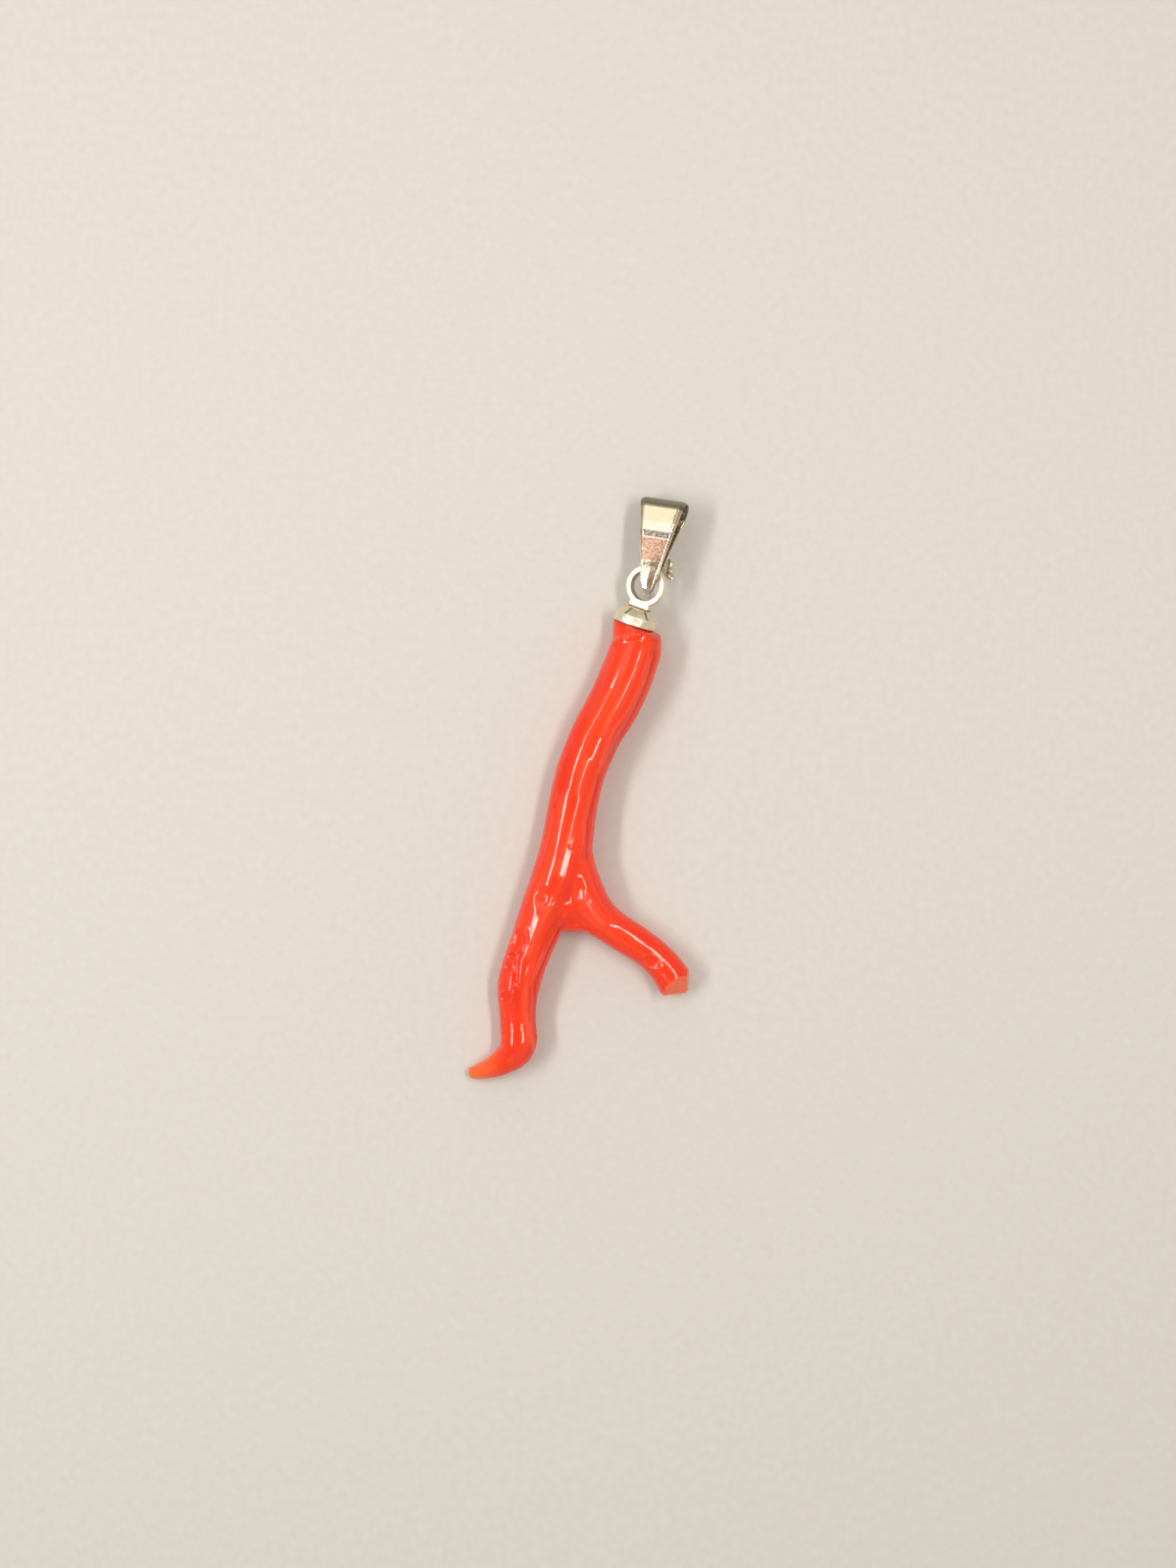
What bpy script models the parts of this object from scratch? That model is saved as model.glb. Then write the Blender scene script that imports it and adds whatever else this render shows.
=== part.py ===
# Red coral branch pendant, lying on its back.
# X runs across the branch, Y runs from the fork to the bail and Z is up.
# Lengths are in millimetres up to the helper mm(), which gives Blender's metres.

import math

import bmesh
import bpy
import numpy as np
from mathutils import Matrix, Vector

# Whole object
PART_NAME = "red_coral_branch"
SEAT_GAP = 0.3                # space left between pieces that touch or are joined
FRAME_SHIFT = (-0.138, -0.167, 0.002)     # puts the origin under the middle of the whole

# Coral: each station is x, y, half width and height of the centreline
STEM_AND_HOOK = [
    (6.45, 18.6, 2.10, 2.80),
    (5.80, 16.8, 2.22, 2.42),
    (5.98, 15.4, 2.45, 2.45),
    (5.75, 14.0, 2.62, 2.60),
    (5.05, 12.0, 2.70, 2.70),
    (4.20, 10.0, 2.70, 2.68),
    (3.20, 8.0, 2.66, 2.64),
    (2.10, 6.2, 2.58, 2.58),
    (1.10, 4.0, 2.52, 2.52),
    (0.25, 1.8, 2.49, 2.49),
    (-0.35, -0.6, 2.48, 2.48),
    (-0.80, -3.2, 2.52, 2.52),
    (-1.25, -6.0, 2.62, 2.60),
    (-2.10, -8.9, 2.62, 2.60),
    (-3.25, -11.6, 2.42, 2.42),
    (-4.35, -14.7, 2.30, 2.28),
    (-5.30, -17.2, 2.20, 2.18),
    (-6.00, -19.6, 2.18, 2.16),
    (-6.20, -21.4, 1.98, 1.96),
    (-6.18, -23.8, 1.80, 1.80),
    (-6.09, -25.55, 1.89, 1.88),
    (-6.45, -26.7, 1.74, 1.76),
    (-7.25, -27.5, 1.48, 1.52),
    (-8.40, -28.25, 1.18, 1.24),
    (-9.60, -28.75, 0.90, 0.98),
    (-11.00, -29.12, 0.62, 0.72),
]
SIDE_LIMB = [
    (-0.95, -4.2, 1.90, 2.40),
    (-0.50, -7.6, 2.20, 2.45),
    (0.45, -10.6, 2.22, 2.30),
    (1.80, -12.7, 2.02, 2.05),
    (3.40, -14.0, 1.80, 1.82),
    (5.25, -15.2, 1.76, 1.76),
    (7.05, -16.4, 1.70, 1.70),
    (8.50, -17.7, 1.71, 1.71),
    (9.65, -19.2, 1.80, 1.80),
    (10.90, -21.4, 1.85, 1.85),
]
FORK_WEB = [
    (-2.20, -13.00, 1.30, 2.10),
    (-0.50, -13.12, 1.36, 2.10),
    (1.40, -13.05, 1.30, 2.10),
]
SMOOTH_STEPS = 4              # curve points made between two stations
VOXEL = 0.30
BLEND_PASSES = 7              # smoothing passes that web the fork
SHRINK_MEND = 0.05            # what the smoothing takes off the surface
CORAL_TRIANGLES = 6800
RELIEF_FADE = 3.0             # how fast the relief fades in from the outline to the front

# Hollows: x, y, half length, half width, turn in degrees, depth, and 1 for the front or -1 for the back
HOLLOWS = [
    (-3.50, -10.90, 0.95, 0.80, 60, 0.32, 1),
    (-0.20, -10.20, 1.10, 0.70, 80, 0.28, 1),
    (-0.20, -13.00, 0.95, 0.85, 0, 0.26, 1),
    (-5.80, -15.10, 1.05, 0.70, 68, 0.36, 1),
    (-6.90, -17.60, 0.80, 0.62, 60, 0.34, 1),
    (-7.20, -21.10, 0.68, 0.55, 70, 0.34, 1),
    (7.56, -17.50, 0.95, 0.60, -38, 0.34, 1),
    (-2.20, -1.60, 0.60, 0.42, 80, 0.20, 1),
    (1.80, 5.20, 0.95, 0.60, 60, 0.30, -1),
    (-1.60, -4.60, 0.75, 0.60, 80, 0.30, -1),
    (-5.60, -19.00, 0.90, 0.60, 75, 0.30, -1),
    (4.60, -14.60, 0.80, 0.60, -35, 0.28, -1),
]
# Long furrows: points x, y along the furrow, half width, depth, side
FURROWS = [
    ([(7.75, 14.6), (7.05, 12.0), (5.90, 9.0), (4.10, 4.9)], 0.42, 0.16, 1),
    ([(2.90, 13.2), (1.60, 9.4), (-0.70, 4.2), (-1.70, 0.2)], 0.50, 0.12, 1),
    ([(-6.15, -16.6), (-6.30, -19.4), (-6.30, -22.1)], 0.45, 0.18, 1),
    ([(-2.60, -14.9), (-5.20, -20.3), (-4.90, -26.0)], 0.45, 0.16, 1),
    ([(5.20, 13.0), (3.40, 8.0), (0.40, 1.5), (-1.20, -7.0)], 0.50, 0.16, -1),
]
# Raised shoulder just under the cap
SHOULDER = ([(3.75, 15.4), (5.90, 15.35), (8.05, 15.1)], 0.45, -0.14, 1)

# Sawn and ground end of the side branch: each flat is a point on it and the way it faces
SIDE_FLATS = [
    ((9.70, -19.65, 3.40), (0.409, -0.675, 0.610)),
    ((9.50, -20.80, 1.00), (0.020, -0.995, -0.100)),
    ((11.22, -19.60, 1.80), (0.985, -0.120, 0.120)),
]

# Where the fork is divided: the crotch and a point past each outer edge
CROTCH = (-0.15, -15.00)
HOOK_DIVIDE_END = (-6.40, -10.10)
SIDE_DIVIDE_END = (3.60, -7.90)
DIVIDER_HEIGHT = 16.0
STEM_REACHES = 10.0           # only the stem lies above this Y
SIDE_REACHES = 8.0            # of the other two only the side branch lies past this X

# Cap, turned about the stem's end
CAP_LEAN = 18.3               # degrees from +Y towards +X
CAP_LIFT = 10.0               # degrees above the surface
RIM_CENTRE = (5.684, 16.908, 2.399)
RIM_RADIUS = 2.25
RIM_BAND = 0.98
CAP_HEIGHT = 1.72
CAP_TOP_RADIUS = 1.26
CUP_RADIUS = 1.95
CUP_DEPTH = 1.25
TENON_RADIUS = 1.60
TENON_LENGTH = 0.90
EDGE_ROUND = 0.10
CAP_STEPS = 40

# Ring, soldered on the cap
RING_TURN = 20.0              # degrees about the cap's axis, front face to the left
RING_OUTER = 2.10
RING_HOLE = 1.48
RING_DEPTH = 1.10
RING_FOOT_WIDTH = 2.40
RING_FOOT_HEIGHT = 0.55
RING_STEPS = 48
RING_HOLE_STEPS = 36

# Bail, a tapered strip folded over at the top
BAIL_LEAN = 11.5
BAIL_DROP = 11.0              # degrees that its top lies below its tip
BAIL_TURN = 10.0              # degrees about its own length, front face to the left
BAIL_LENGTH = 10.1
BAIL_TOP_WIDTH = 4.85
BAIL_TIP_WIDTH = 0.85
BAIL_FLARE = 0.8              # power of the taper, less is more bulged
BAIL_BACK_SHARE = 0.55        # how wide the back leg's tip is beside the front one
BAIL_ROLL = 2.10              # half depth of the rolled top
BAIL_TIP_HALF_DEPTH = 0.50
BAIL_BOW = 0.33               # power of the legs' outline, less is more bowed
BAIL_THICKNESS = 0.30
BAIL_WIRE_HEIGHT = 2.65       # from the tip up to the ring's wire
BAIL_SIDE_BEVEL = 0.22
BAIL_TOP_FLAT = 0.90
TAB_SIZE = (0.80, 2.00, 0.35)
TAB_PLACE = (1.36, 0.60)      # across and up from the ring's wire to the tab's middle
TAB_SPLAY = 14.0              # degrees that its foot swings out


def mm(value):
    """Millimetres to Blender's metres, for one number or a vector."""
    if isinstance(value, (int, float)):
        return value * 0.001
    return Vector(value) * 0.001


def clear_scene():
    for item in list(bpy.data.objects):
        bpy.data.objects.remove(item, do_unlink=True)


def make_collection(name):
    group = bpy.data.collections.new(name)
    bpy.context.scene.collection.children.link(group)
    return group


def make_material(name, colour, metallic, roughness):
    material = bpy.data.materials.new(name)
    material.use_nodes = True
    shader = material.node_tree.nodes["Principled BSDF"]
    shader.inputs["Base Color"].default_value = (*colour, 1.0)
    shader.inputs["Metallic"].default_value = metallic
    shader.inputs["Roughness"].default_value = roughness
    material.diffuse_color = (*colour, 1.0)
    return material


def add_object(name, data, group, material=None):
    item = bpy.data.objects.new(name, data)
    group.objects.link(item)
    if material:
        item.data.materials.clear()
        item.data.materials.append(material)
    return item


def evaluated_mesh(item):
    """The object's mesh with its modifiers or bevel worked out."""
    graph = bpy.context.evaluated_depsgraph_get()
    return bpy.data.meshes.new_from_object(item.evaluated_get(graph))


def bake_modifiers(item):
    """Replace the object's mesh with its evaluated one and drop the modifiers."""
    mesh = evaluated_mesh(item)
    item.modifiers.clear()
    item.data = mesh


def curve_to_mesh(item, group):
    """Turn a curve object into a welded mesh object at the same place."""
    mesh = evaluated_mesh(item)
    shape = bmesh.new()
    shape.from_mesh(mesh)
    bmesh.ops.remove_doubles(shape, verts=shape.verts, dist=1e-6)
    bmesh.ops.recalc_face_normals(shape, faces=shape.faces)
    shape.to_mesh(mesh)
    shape.free()
    made = add_object(item.name + "_mesh", mesh, group)
    made.matrix_world = item.matrix_world.copy()
    bpy.data.objects.remove(item, do_unlink=True)
    return made


def add_boolean(item, cutter, operation):
    change = item.modifiers.new(cutter.name, "BOOLEAN")
    change.operation = operation
    change.object = cutter


def hide_cutter(item):
    item.hide_render = True
    item.display_type = "WIRE"


def cutter_from_active(name, group):
    """Name the primitive that was just made, move it to the group and hide it."""
    item = bpy.context.active_object
    item.name = name
    for collection in item.users_collection:
        collection.objects.unlink(item)
    group.objects.link(item)
    hide_cutter(item)
    return item


# Frames of the metal parts

def leaning_axis(lean, lift):
    """Unit vector that leans from +Y towards +X and rises above the surface, both in degrees."""
    lean = math.radians(lean)
    lift = math.radians(lift)
    flat = math.cos(lift)
    return Vector((math.sin(lean) * flat, math.cos(lean) * flat, math.sin(lift)))


def placed(right, forward, up, centre):
    """Matrix whose X, Y and Z axes are the given ones and whose place is centre, in mm."""
    turn = Matrix((right, forward, up)).transposed().to_4x4()
    return Matrix.Translation(mm(centre)) @ turn


def cap_frame():
    """Origin at the rim's centre, Z along the cap towards the ring, Y to the front."""
    axis = leaning_axis(CAP_LEAN, CAP_LIFT)
    right = axis.cross(Vector((0, 0, 1))).normalized()
    return placed(right, axis.cross(right), axis, RIM_CENTRE)


def ring_frame():
    """Origin at the ring's centre, Y along the cap's axis, Z out of the ring's front."""
    axis = leaning_axis(CAP_LEAN, CAP_LIFT)
    right = axis.cross(Vector((0, 0, 1))).normalized()
    right = Matrix.Rotation(math.radians(-RING_TURN), 3, axis) @ right
    centre = Vector(RIM_CENTRE) + axis * (CAP_HEIGHT + SEAT_GAP + RING_OUTER)
    return placed(right, axis, right.cross(axis), centre)


def wire_centre():
    """Middle of the ring's wire at its top, where the bail hangs, in mm."""
    wire_radius = (RING_OUTER + RING_HOLE) / 2
    return ring_frame() @ mm((0, wire_radius, 0)) * 1000


def bail_frame():
    """Origin on the ring's wire, Y up the bail, Z out of its front."""
    along = leaning_axis(BAIL_LEAN, -BAIL_DROP)
    right = along.cross(Vector((0, 0, 1))).normalized()
    right = Matrix.Rotation(math.radians(-BAIL_TURN), 3, along) @ right
    return placed(right, along, right.cross(along), wire_centre())


# Coral

def smooth_stations(stations, steps):
    """Points on a Catmull-Rom curve through the stations."""
    table = [Vector(s) for s in stations]
    table = [2 * table[0] - table[1]] + table + [2 * table[-1] - table[-2]]
    points = []
    for i in range(1, len(table) - 2):
        a, b, c, d = table[i - 1:i + 3]
        for k in range(steps):
            t = k / steps
            points.append(0.5 * (2 * b + (c - a) * t + (2 * a - 5 * b + 4 * c - d) * t * t
                                 + (3 * b - a - 3 * c + d) * t ** 3))
    points.append(table[-2])
    return points


def make_limb(name, stations, group):
    """A tapering tube along the smoothed stations."""
    curve = bpy.data.curves.new(name, "CURVE")
    curve.dimensions = "3D"
    curve.bevel_depth = mm(1.0)
    curve.bevel_resolution = 6
    curve.use_fill_caps = True
    spline = curve.splines.new("POLY")
    points = smooth_stations([(x, y, z, r) for x, y, r, z in stations], SMOOTH_STEPS)
    spline.points.add(len(points) - 1)
    for slot, point in zip(spline.points, points):
        slot.co = (*mm(point.xyz), 1.0)
        slot.radius = point.w
    return curve_to_mesh(add_object(name, curve, group), group)


def distance_to_line(places, line):
    """Shortest distance of each place in the XY plane to a chain of points."""
    best = np.full(len(places), np.inf)
    for start, end in zip(line[:-1], line[1:]):
        start = np.array(start)
        run = np.array(end) - start
        along = np.clip((places - start) @ run / (run @ run), 0, 1)
        best = np.minimum(best, np.linalg.norm(places - start - along[:, None] * run, axis=1))
    return best


def relief_depth(places, facing):
    """How far each surface point sinks, in mm, from the hollows, furrows and shoulder."""
    depth = np.zeros(len(places))
    for x, y, half_length, half_width, turn, sink, side in HOLLOWS:
        turn = math.radians(turn)
        dx = places[:, 0] - x
        dy = places[:, 1] - y
        along = (dx * math.cos(turn) + dy * math.sin(turn)) / half_length
        across = (dy * math.cos(turn) - dx * math.sin(turn)) / half_width
        shown = np.clip(side * facing * RELIEF_FADE, 0, 1)
        depth += sink * shown * np.exp(-(along ** 2 + across ** 2) ** 1.5)
    for line, half_width, sink, side in FURROWS + [SHOULDER]:
        near = distance_to_line(places[:, :2], line) / half_width
        shown = np.clip(side * facing * RELIEF_FADE, 0, 1)
        depth += sink * shown * np.exp(-near ** 2)
    return depth


def carve_relief(mesh):
    """Move every vertex along its normal by the relief."""
    count = len(mesh.vertices)
    places = np.empty(count * 3)
    normals = np.empty(count * 3)
    mesh.vertices.foreach_get("co", places)
    mesh.vertices.foreach_get("normal", normals)
    places = places.reshape(-1, 3) * 1000
    normals = normals.reshape(-1, 3)
    moved = SHRINK_MEND - relief_depth(places, normals[:, 2])
    places += normals * moved[:, None]
    places[:, 2] = np.maximum(places[:, 2], 0.0)
    mesh.vertices.foreach_set("co", (places * 0.001).ravel())
    mesh.update()


def trim_flat(mesh, point, facing):
    """Cut off what lies past a plane and close the cut."""
    shape = bmesh.new()
    shape.from_mesh(mesh)
    everything = shape.verts[:] + shape.edges[:] + shape.faces[:]
    cut = bmesh.ops.bisect_plane(
        shape, geom=everything, plane_co=mm(point), plane_no=facing, clear_outer=True)
    rim = [e for e in cut["geom_cut"] if isinstance(e, bmesh.types.BMEdge)]
    bmesh.ops.contextual_create(shape, geom=rim)
    bmesh.ops.recalc_face_normals(shape, faces=shape.faces)
    shape.to_mesh(mesh)
    shape.free()


def make_divider(name, start, end, group):
    """A thin upright plate from start to end in the XY plane."""
    start = Vector((*start, 0))
    end = Vector((*end, 0))
    run = end - start
    bpy.ops.mesh.primitive_cube_add(size=1)
    plate = cutter_from_active(name, group)
    plate.data.transform(Matrix.Diagonal((mm(run.length), mm(SEAT_GAP), mm(DIVIDER_HEIGHT), 1)))
    plate.location = mm((start + end) / 2)
    plate.rotation_euler.z = math.atan2(run.y, run.x)
    return plate


def make_tenon(group):
    """The ground-down end of the stem that is glued in the cap."""
    length = TENON_LENGTH + SEAT_GAP * 2
    bpy.ops.mesh.primitive_cylinder_add(vertices=32, radius=mm(TENON_RADIUS), depth=mm(length))
    tenon = cutter_from_active("tenon", group)
    middle = TENON_LENGTH - length / 2
    tenon.matrix_world = cap_frame() @ Matrix.Translation(mm((0, 0, middle)))
    return tenon


def grow_coral(cutters):
    """The whole branch as one smooth mesh with its relief."""
    branch = make_limb("stem_and_hook", STEM_AND_HOOK, cutters)
    for name, stations in (("side_limb", SIDE_LIMB), ("fork_web", FORK_WEB)):
        limb = make_limb(name, stations, cutters)
        add_boolean(branch, limb, "UNION")
        hide_cutter(limb)
    remesh = branch.modifiers.new("even faces", "REMESH")
    remesh.mode = "VOXEL"
    remesh.voxel_size = mm(VOXEL)
    blend = branch.modifiers.new("blend", "SMOOTH")
    blend.factor = 0.5
    blend.iterations = BLEND_PASSES
    bake_modifiers(branch)
    carve_relief(branch.data)
    reduce = branch.modifiers.new("fewer faces", "DECIMATE")
    quads = len(branch.data.polygons)
    reduce.ratio = min(1.0, CORAL_TRIANGLES / (2 * quads))
    reduce.use_collapse_triangulate = True
    bake_modifiers(branch)
    axis = leaning_axis(CAP_LEAN, CAP_LIFT)
    trim_flat(branch.data, Vector(RIM_CENTRE) - axis * SEAT_GAP, axis)
    return branch


def split_loose(item):
    """Separate an object's loose bodies and return them all."""
    before = set(bpy.data.objects)
    bpy.ops.object.select_all(action="DESELECT")
    item.select_set(True)
    bpy.context.view_layer.objects.active = item
    bpy.ops.object.mode_set(mode="EDIT")
    bpy.ops.mesh.select_all(action="SELECT")
    bpy.ops.mesh.separate(type="LOOSE")
    bpy.ops.object.mode_set(mode="OBJECT")
    return [item] + [o for o in bpy.data.objects if o not in before]


def make_coral(parts, cutters, material):
    """Grow the branch, divide it at its fork and finish each limb."""
    branch = grow_coral(cutters)
    add_boolean(branch, make_tenon(cutters), "UNION")
    add_boolean(branch, make_divider("hook_divider", CROTCH, HOOK_DIVIDE_END, cutters), "DIFFERENCE")
    add_boolean(branch, make_divider("side_divider", CROTCH, SIDE_DIVIDE_END, cutters), "DIFFERENCE")
    bake_modifiers(branch)
    limbs = []
    for limb in split_loose(branch):
        corners = [limb.matrix_world @ v.co for v in limb.data.vertices]
        top = max(c.y for c in corners)
        right = max(c.x for c in corners)
        if top > mm(STEM_REACHES):
            limb.name = "coral_stem"
        elif right > mm(SIDE_REACHES):
            limb.name = "coral_side_branch"
            for point, facing in SIDE_FLATS:
                trim_flat(limb.data, point, facing)
        else:
            limb.name = "coral_hooked_branch"
        limb.data.name = limb.name
        limb.data.materials.clear()
        limb.data.materials.append(material)
        limb.data.shade_smooth()
        cutters.objects.unlink(limb)
        parts.objects.link(limb)
        limbs.append(limb)
    return limbs


# Metal

def make_cap(parts, material):
    """A turned cup: a straight rim band and a cone that narrows to the ring."""
    profile = [
        (0.0, CAP_HEIGHT),
        (CAP_TOP_RADIUS - EDGE_ROUND, CAP_HEIGHT),
        (CAP_TOP_RADIUS, CAP_HEIGHT - EDGE_ROUND),
        (RIM_RADIUS - 2 * EDGE_ROUND, RIM_BAND + EDGE_ROUND),
        (RIM_RADIUS, RIM_BAND),
        (RIM_RADIUS, EDGE_ROUND),
        (RIM_RADIUS - EDGE_ROUND, 0.0),
        (CUP_RADIUS, 0.0),
        (CUP_RADIUS, RIM_BAND - EDGE_ROUND),
        (CAP_TOP_RADIUS, CUP_DEPTH),
        (0.0, CUP_DEPTH),
    ]
    mesh = bpy.data.meshes.new("cap")
    edges = [(i, i + 1) for i in range(len(profile) - 1)]
    mesh.from_pydata([mm((r, 0, h)) for r, h in profile], edges, [])
    cap = add_object("cap", mesh, parts, material)
    cap.matrix_world = cap_frame()
    turn = cap.modifiers.new("turned", "SCREW")
    turn.steps = CAP_STEPS
    turn.render_steps = CAP_STEPS
    turn.use_merge_vertices = True
    turn.merge_threshold = 1e-6
    turn.use_smooth_shade = True
    return cap


def add_loop(curve, points):
    spline = curve.splines.new("POLY")
    spline.points.add(len(points) - 1)
    for slot, (x, y) in zip(spline.points, points):
        slot.co = (mm(x), mm(y), 0, 1)
    spline.use_cyclic_u = True


def arc_points(radius, start, end, count):
    """Points on a circle about the origin, from start to end in degrees."""
    angles = [math.radians(start + (end - start) * i / (count - 1)) for i in range(count)]
    return [(radius * math.cos(a), radius * math.sin(a)) for a in angles]


def make_ring(parts, cutters, material):
    """A flat ring with a straight foot, its edges rounded by the curve's bevel."""
    outer = RING_OUTER - EDGE_ROUND
    half_foot = RING_FOOT_WIDTH / 2 - EDGE_ROUND
    foot_top = -RING_OUTER + RING_FOOT_HEIGHT
    spread = math.degrees(math.asin(half_foot / outer))
    curve = bpy.data.curves.new("ring", "CURVE")
    curve.dimensions = "2D"
    curve.fill_mode = "BOTH"
    curve.extrude = mm(RING_DEPTH / 2 - EDGE_ROUND)
    curve.bevel_depth = mm(EDGE_ROUND)
    curve.bevel_resolution = 1
    outline = arc_points(outer, -90 + spread, 270 - spread, RING_STEPS)
    outline += [(-half_foot, foot_top), (-half_foot, -outer), (half_foot, -outer), (half_foot, foot_top)]
    add_loop(curve, [p for p in outline if p[1] > foot_top or abs(p[0]) == half_foot])
    add_loop(curve, arc_points(RING_HOLE + EDGE_ROUND, 0, 360 - 360 / RING_HOLE_STEPS, RING_HOLE_STEPS))
    ring = curve_to_mesh(add_object("ring", curve, cutters), parts)
    ring.name = "ring"
    ring.data.name = "ring"
    ring.data.materials.append(material)
    ring.data.shade_smooth()
    ring.data.set_sharp_from_angle(angle=math.radians(30))
    ring.matrix_world = ring_frame()
    return ring


def bail_half_depth(height):
    """Half of the bail's depth, front to back, at a height above the tip."""
    share = min(max(height / (BAIL_LENGTH - BAIL_ROLL), 0.0), 1.0)
    return BAIL_TIP_HALF_DEPTH + (BAIL_ROLL - BAIL_TIP_HALF_DEPTH) * share ** BAIL_BOW


def bail_width(height, depth):
    """Width of the strip at a height, less on the back leg."""
    share = min(max(height / BAIL_LENGTH, 0.0), 1.0)
    front = BAIL_TIP_WIDTH + (BAIL_TOP_WIDTH - BAIL_TIP_WIDTH) * share ** BAIL_FLARE
    return front if depth > 0 else front * (BAIL_BACK_SHARE + (1 - BAIL_BACK_SHARE) * share)


def bail_path(leg_points, roll_points):
    """Height and depth of the outer face, from the back tip over the top to the front tip."""
    roll_height = BAIL_LENGTH - BAIL_ROLL
    leg = [roll_height * (i / leg_points) ** 2 for i in range(leg_points)]
    path = [(h, -bail_half_depth(h)) for h in leg]
    half_flat = math.degrees(math.asin(BAIL_TOP_FLAT / 2 / BAIL_ROLL))
    low = [-90 + (90 - half_flat) * i / roll_points for i in range(roll_points + 1)]
    angles = low + [-a for a in reversed(low)]
    path += [(roll_height + BAIL_ROLL * math.cos(math.radians(a)), BAIL_ROLL * math.sin(math.radians(a)))
             for a in angles]
    path += [(h, bail_half_depth(h)) for h in reversed(leg)]
    return path


def make_bail(parts, cutters, material):
    """A strip laid along the path, its sides bevelled, with a bent tab on the back leg."""
    path = bail_path(leg_points=14, roll_points=7)
    columns = (-1.0, -0.8, -0.4, 0.0, 0.4, 0.8, 1.0)
    shape = bmesh.new()
    bmesh.ops.create_grid(shape, x_segments=len(columns) - 1, y_segments=len(path) - 1, size=0.5)
    for vert in shape.verts:
        column = round((vert.co.x + 0.5) * (len(columns) - 1))
        row = round((vert.co.y + 0.5) * (len(path) - 1))
        height, depth = path[row]
        across = columns[column] * bail_width(height, depth) / 2
        bevel = BAIL_SIDE_BEVEL if abs(columns[column]) == 1.0 else 0.0
        drawn_in = bevel / BAIL_ROLL
        height -= max(height - BAIL_LENGTH + BAIL_ROLL, 0.0) * drawn_in
        vert.co = mm((across, height - BAIL_WIRE_HEIGHT, depth * (1 - drawn_in)))
    bmesh.ops.recalc_face_normals(shape, faces=shape.faces)
    mesh = bpy.data.meshes.new("bail")
    shape.to_mesh(mesh)
    shape.free()
    bail = add_object("bail", mesh, parts, material)
    bail.matrix_world = bail_frame()
    shell = bail.modifiers.new("sheet", "SOLIDIFY")
    shell.thickness = mm(BAIL_THICKNESS)
    shell.offset = -1.0
    shell.use_even_offset = True
    add_boolean(bail, make_tab(cutters), "UNION")
    return bail


def make_tab(cutters):
    """The small tab bent out of the right edge of the back leg."""
    bpy.ops.mesh.primitive_cube_add(size=1)
    tab = cutter_from_active("tab", cutters)
    tab.data.transform(Matrix.Diagonal((*mm(TAB_SIZE), 1)))
    depth = BAIL_THICKNESS / 2 - bail_half_depth(BAIL_WIRE_HEIGHT + TAB_PLACE[1])
    splay = Matrix.Rotation(math.radians(TAB_SPLAY), 4, "Z")
    tab.matrix_world = bail_frame() @ Matrix.Translation(mm((*TAB_PLACE, depth))) @ splay
    return tab


def main():
    clear_scene()
    parts = make_collection(PART_NAME)
    cutters = make_collection("cutters")
    coral = make_material("polished_coral", (0.80, 0.045, 0.020), 0.0, 0.12)
    silver = make_material("polished_silver", (0.78, 0.75, 0.69), 1.0, 0.16)
    frame = add_object("pendant_frame", None, parts)
    pieces = make_coral(parts, cutters, coral)
    pieces += [make_cap(parts, silver), make_ring(parts, cutters, silver), make_bail(parts, cutters, silver)]
    bpy.context.view_layer.update()
    for piece in pieces:
        piece.parent = frame
    frame.location = mm(FRAME_SHIFT)
    for cutter in cutters.objects:
        cutter.parent = frame
    bpy.context.view_layer.update()


if __name__ == "__main__":
    main()
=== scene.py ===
# Looks of a red coral branch pendant: polished coral, silver cap and ring, and a swinging bail.
# Shapes are made in millimetres in the branch's own frame, X across, Y from fork to bail, Z up.
# finish_piece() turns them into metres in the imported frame.

import math

import bmesh
import bpy
import numpy as np
from mathutils import Matrix, Vector, noise


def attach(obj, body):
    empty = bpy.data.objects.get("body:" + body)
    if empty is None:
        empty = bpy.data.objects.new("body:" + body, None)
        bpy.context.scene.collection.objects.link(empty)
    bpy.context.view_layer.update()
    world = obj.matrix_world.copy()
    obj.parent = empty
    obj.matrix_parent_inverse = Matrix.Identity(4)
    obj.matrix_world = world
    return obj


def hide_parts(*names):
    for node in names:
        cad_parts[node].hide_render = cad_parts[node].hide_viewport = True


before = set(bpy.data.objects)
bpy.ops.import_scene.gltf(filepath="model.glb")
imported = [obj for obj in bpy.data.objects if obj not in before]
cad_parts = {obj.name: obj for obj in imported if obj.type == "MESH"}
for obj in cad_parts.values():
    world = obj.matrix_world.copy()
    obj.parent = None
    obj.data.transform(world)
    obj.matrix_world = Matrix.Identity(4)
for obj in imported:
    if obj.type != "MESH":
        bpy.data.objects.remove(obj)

bl_info = {
    "name": "Red coral branch pendant",
    "version": (1, 0, 0),
    "blender": (4, 5, 0),
    "location": "View3D > Sidebar > Coral pendant",
    "description": "Builds the looks of a polished coral branch with a silver cap, ring and bail",
    "category": "Object",
}

# Frame of the whole, as in the construction
FRAME_SHIFT = (-0.138, -0.167, 0.002)
SEAT_GAP = 0.3  # between the cap's top and the ring, filled by the ring's foot

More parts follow.
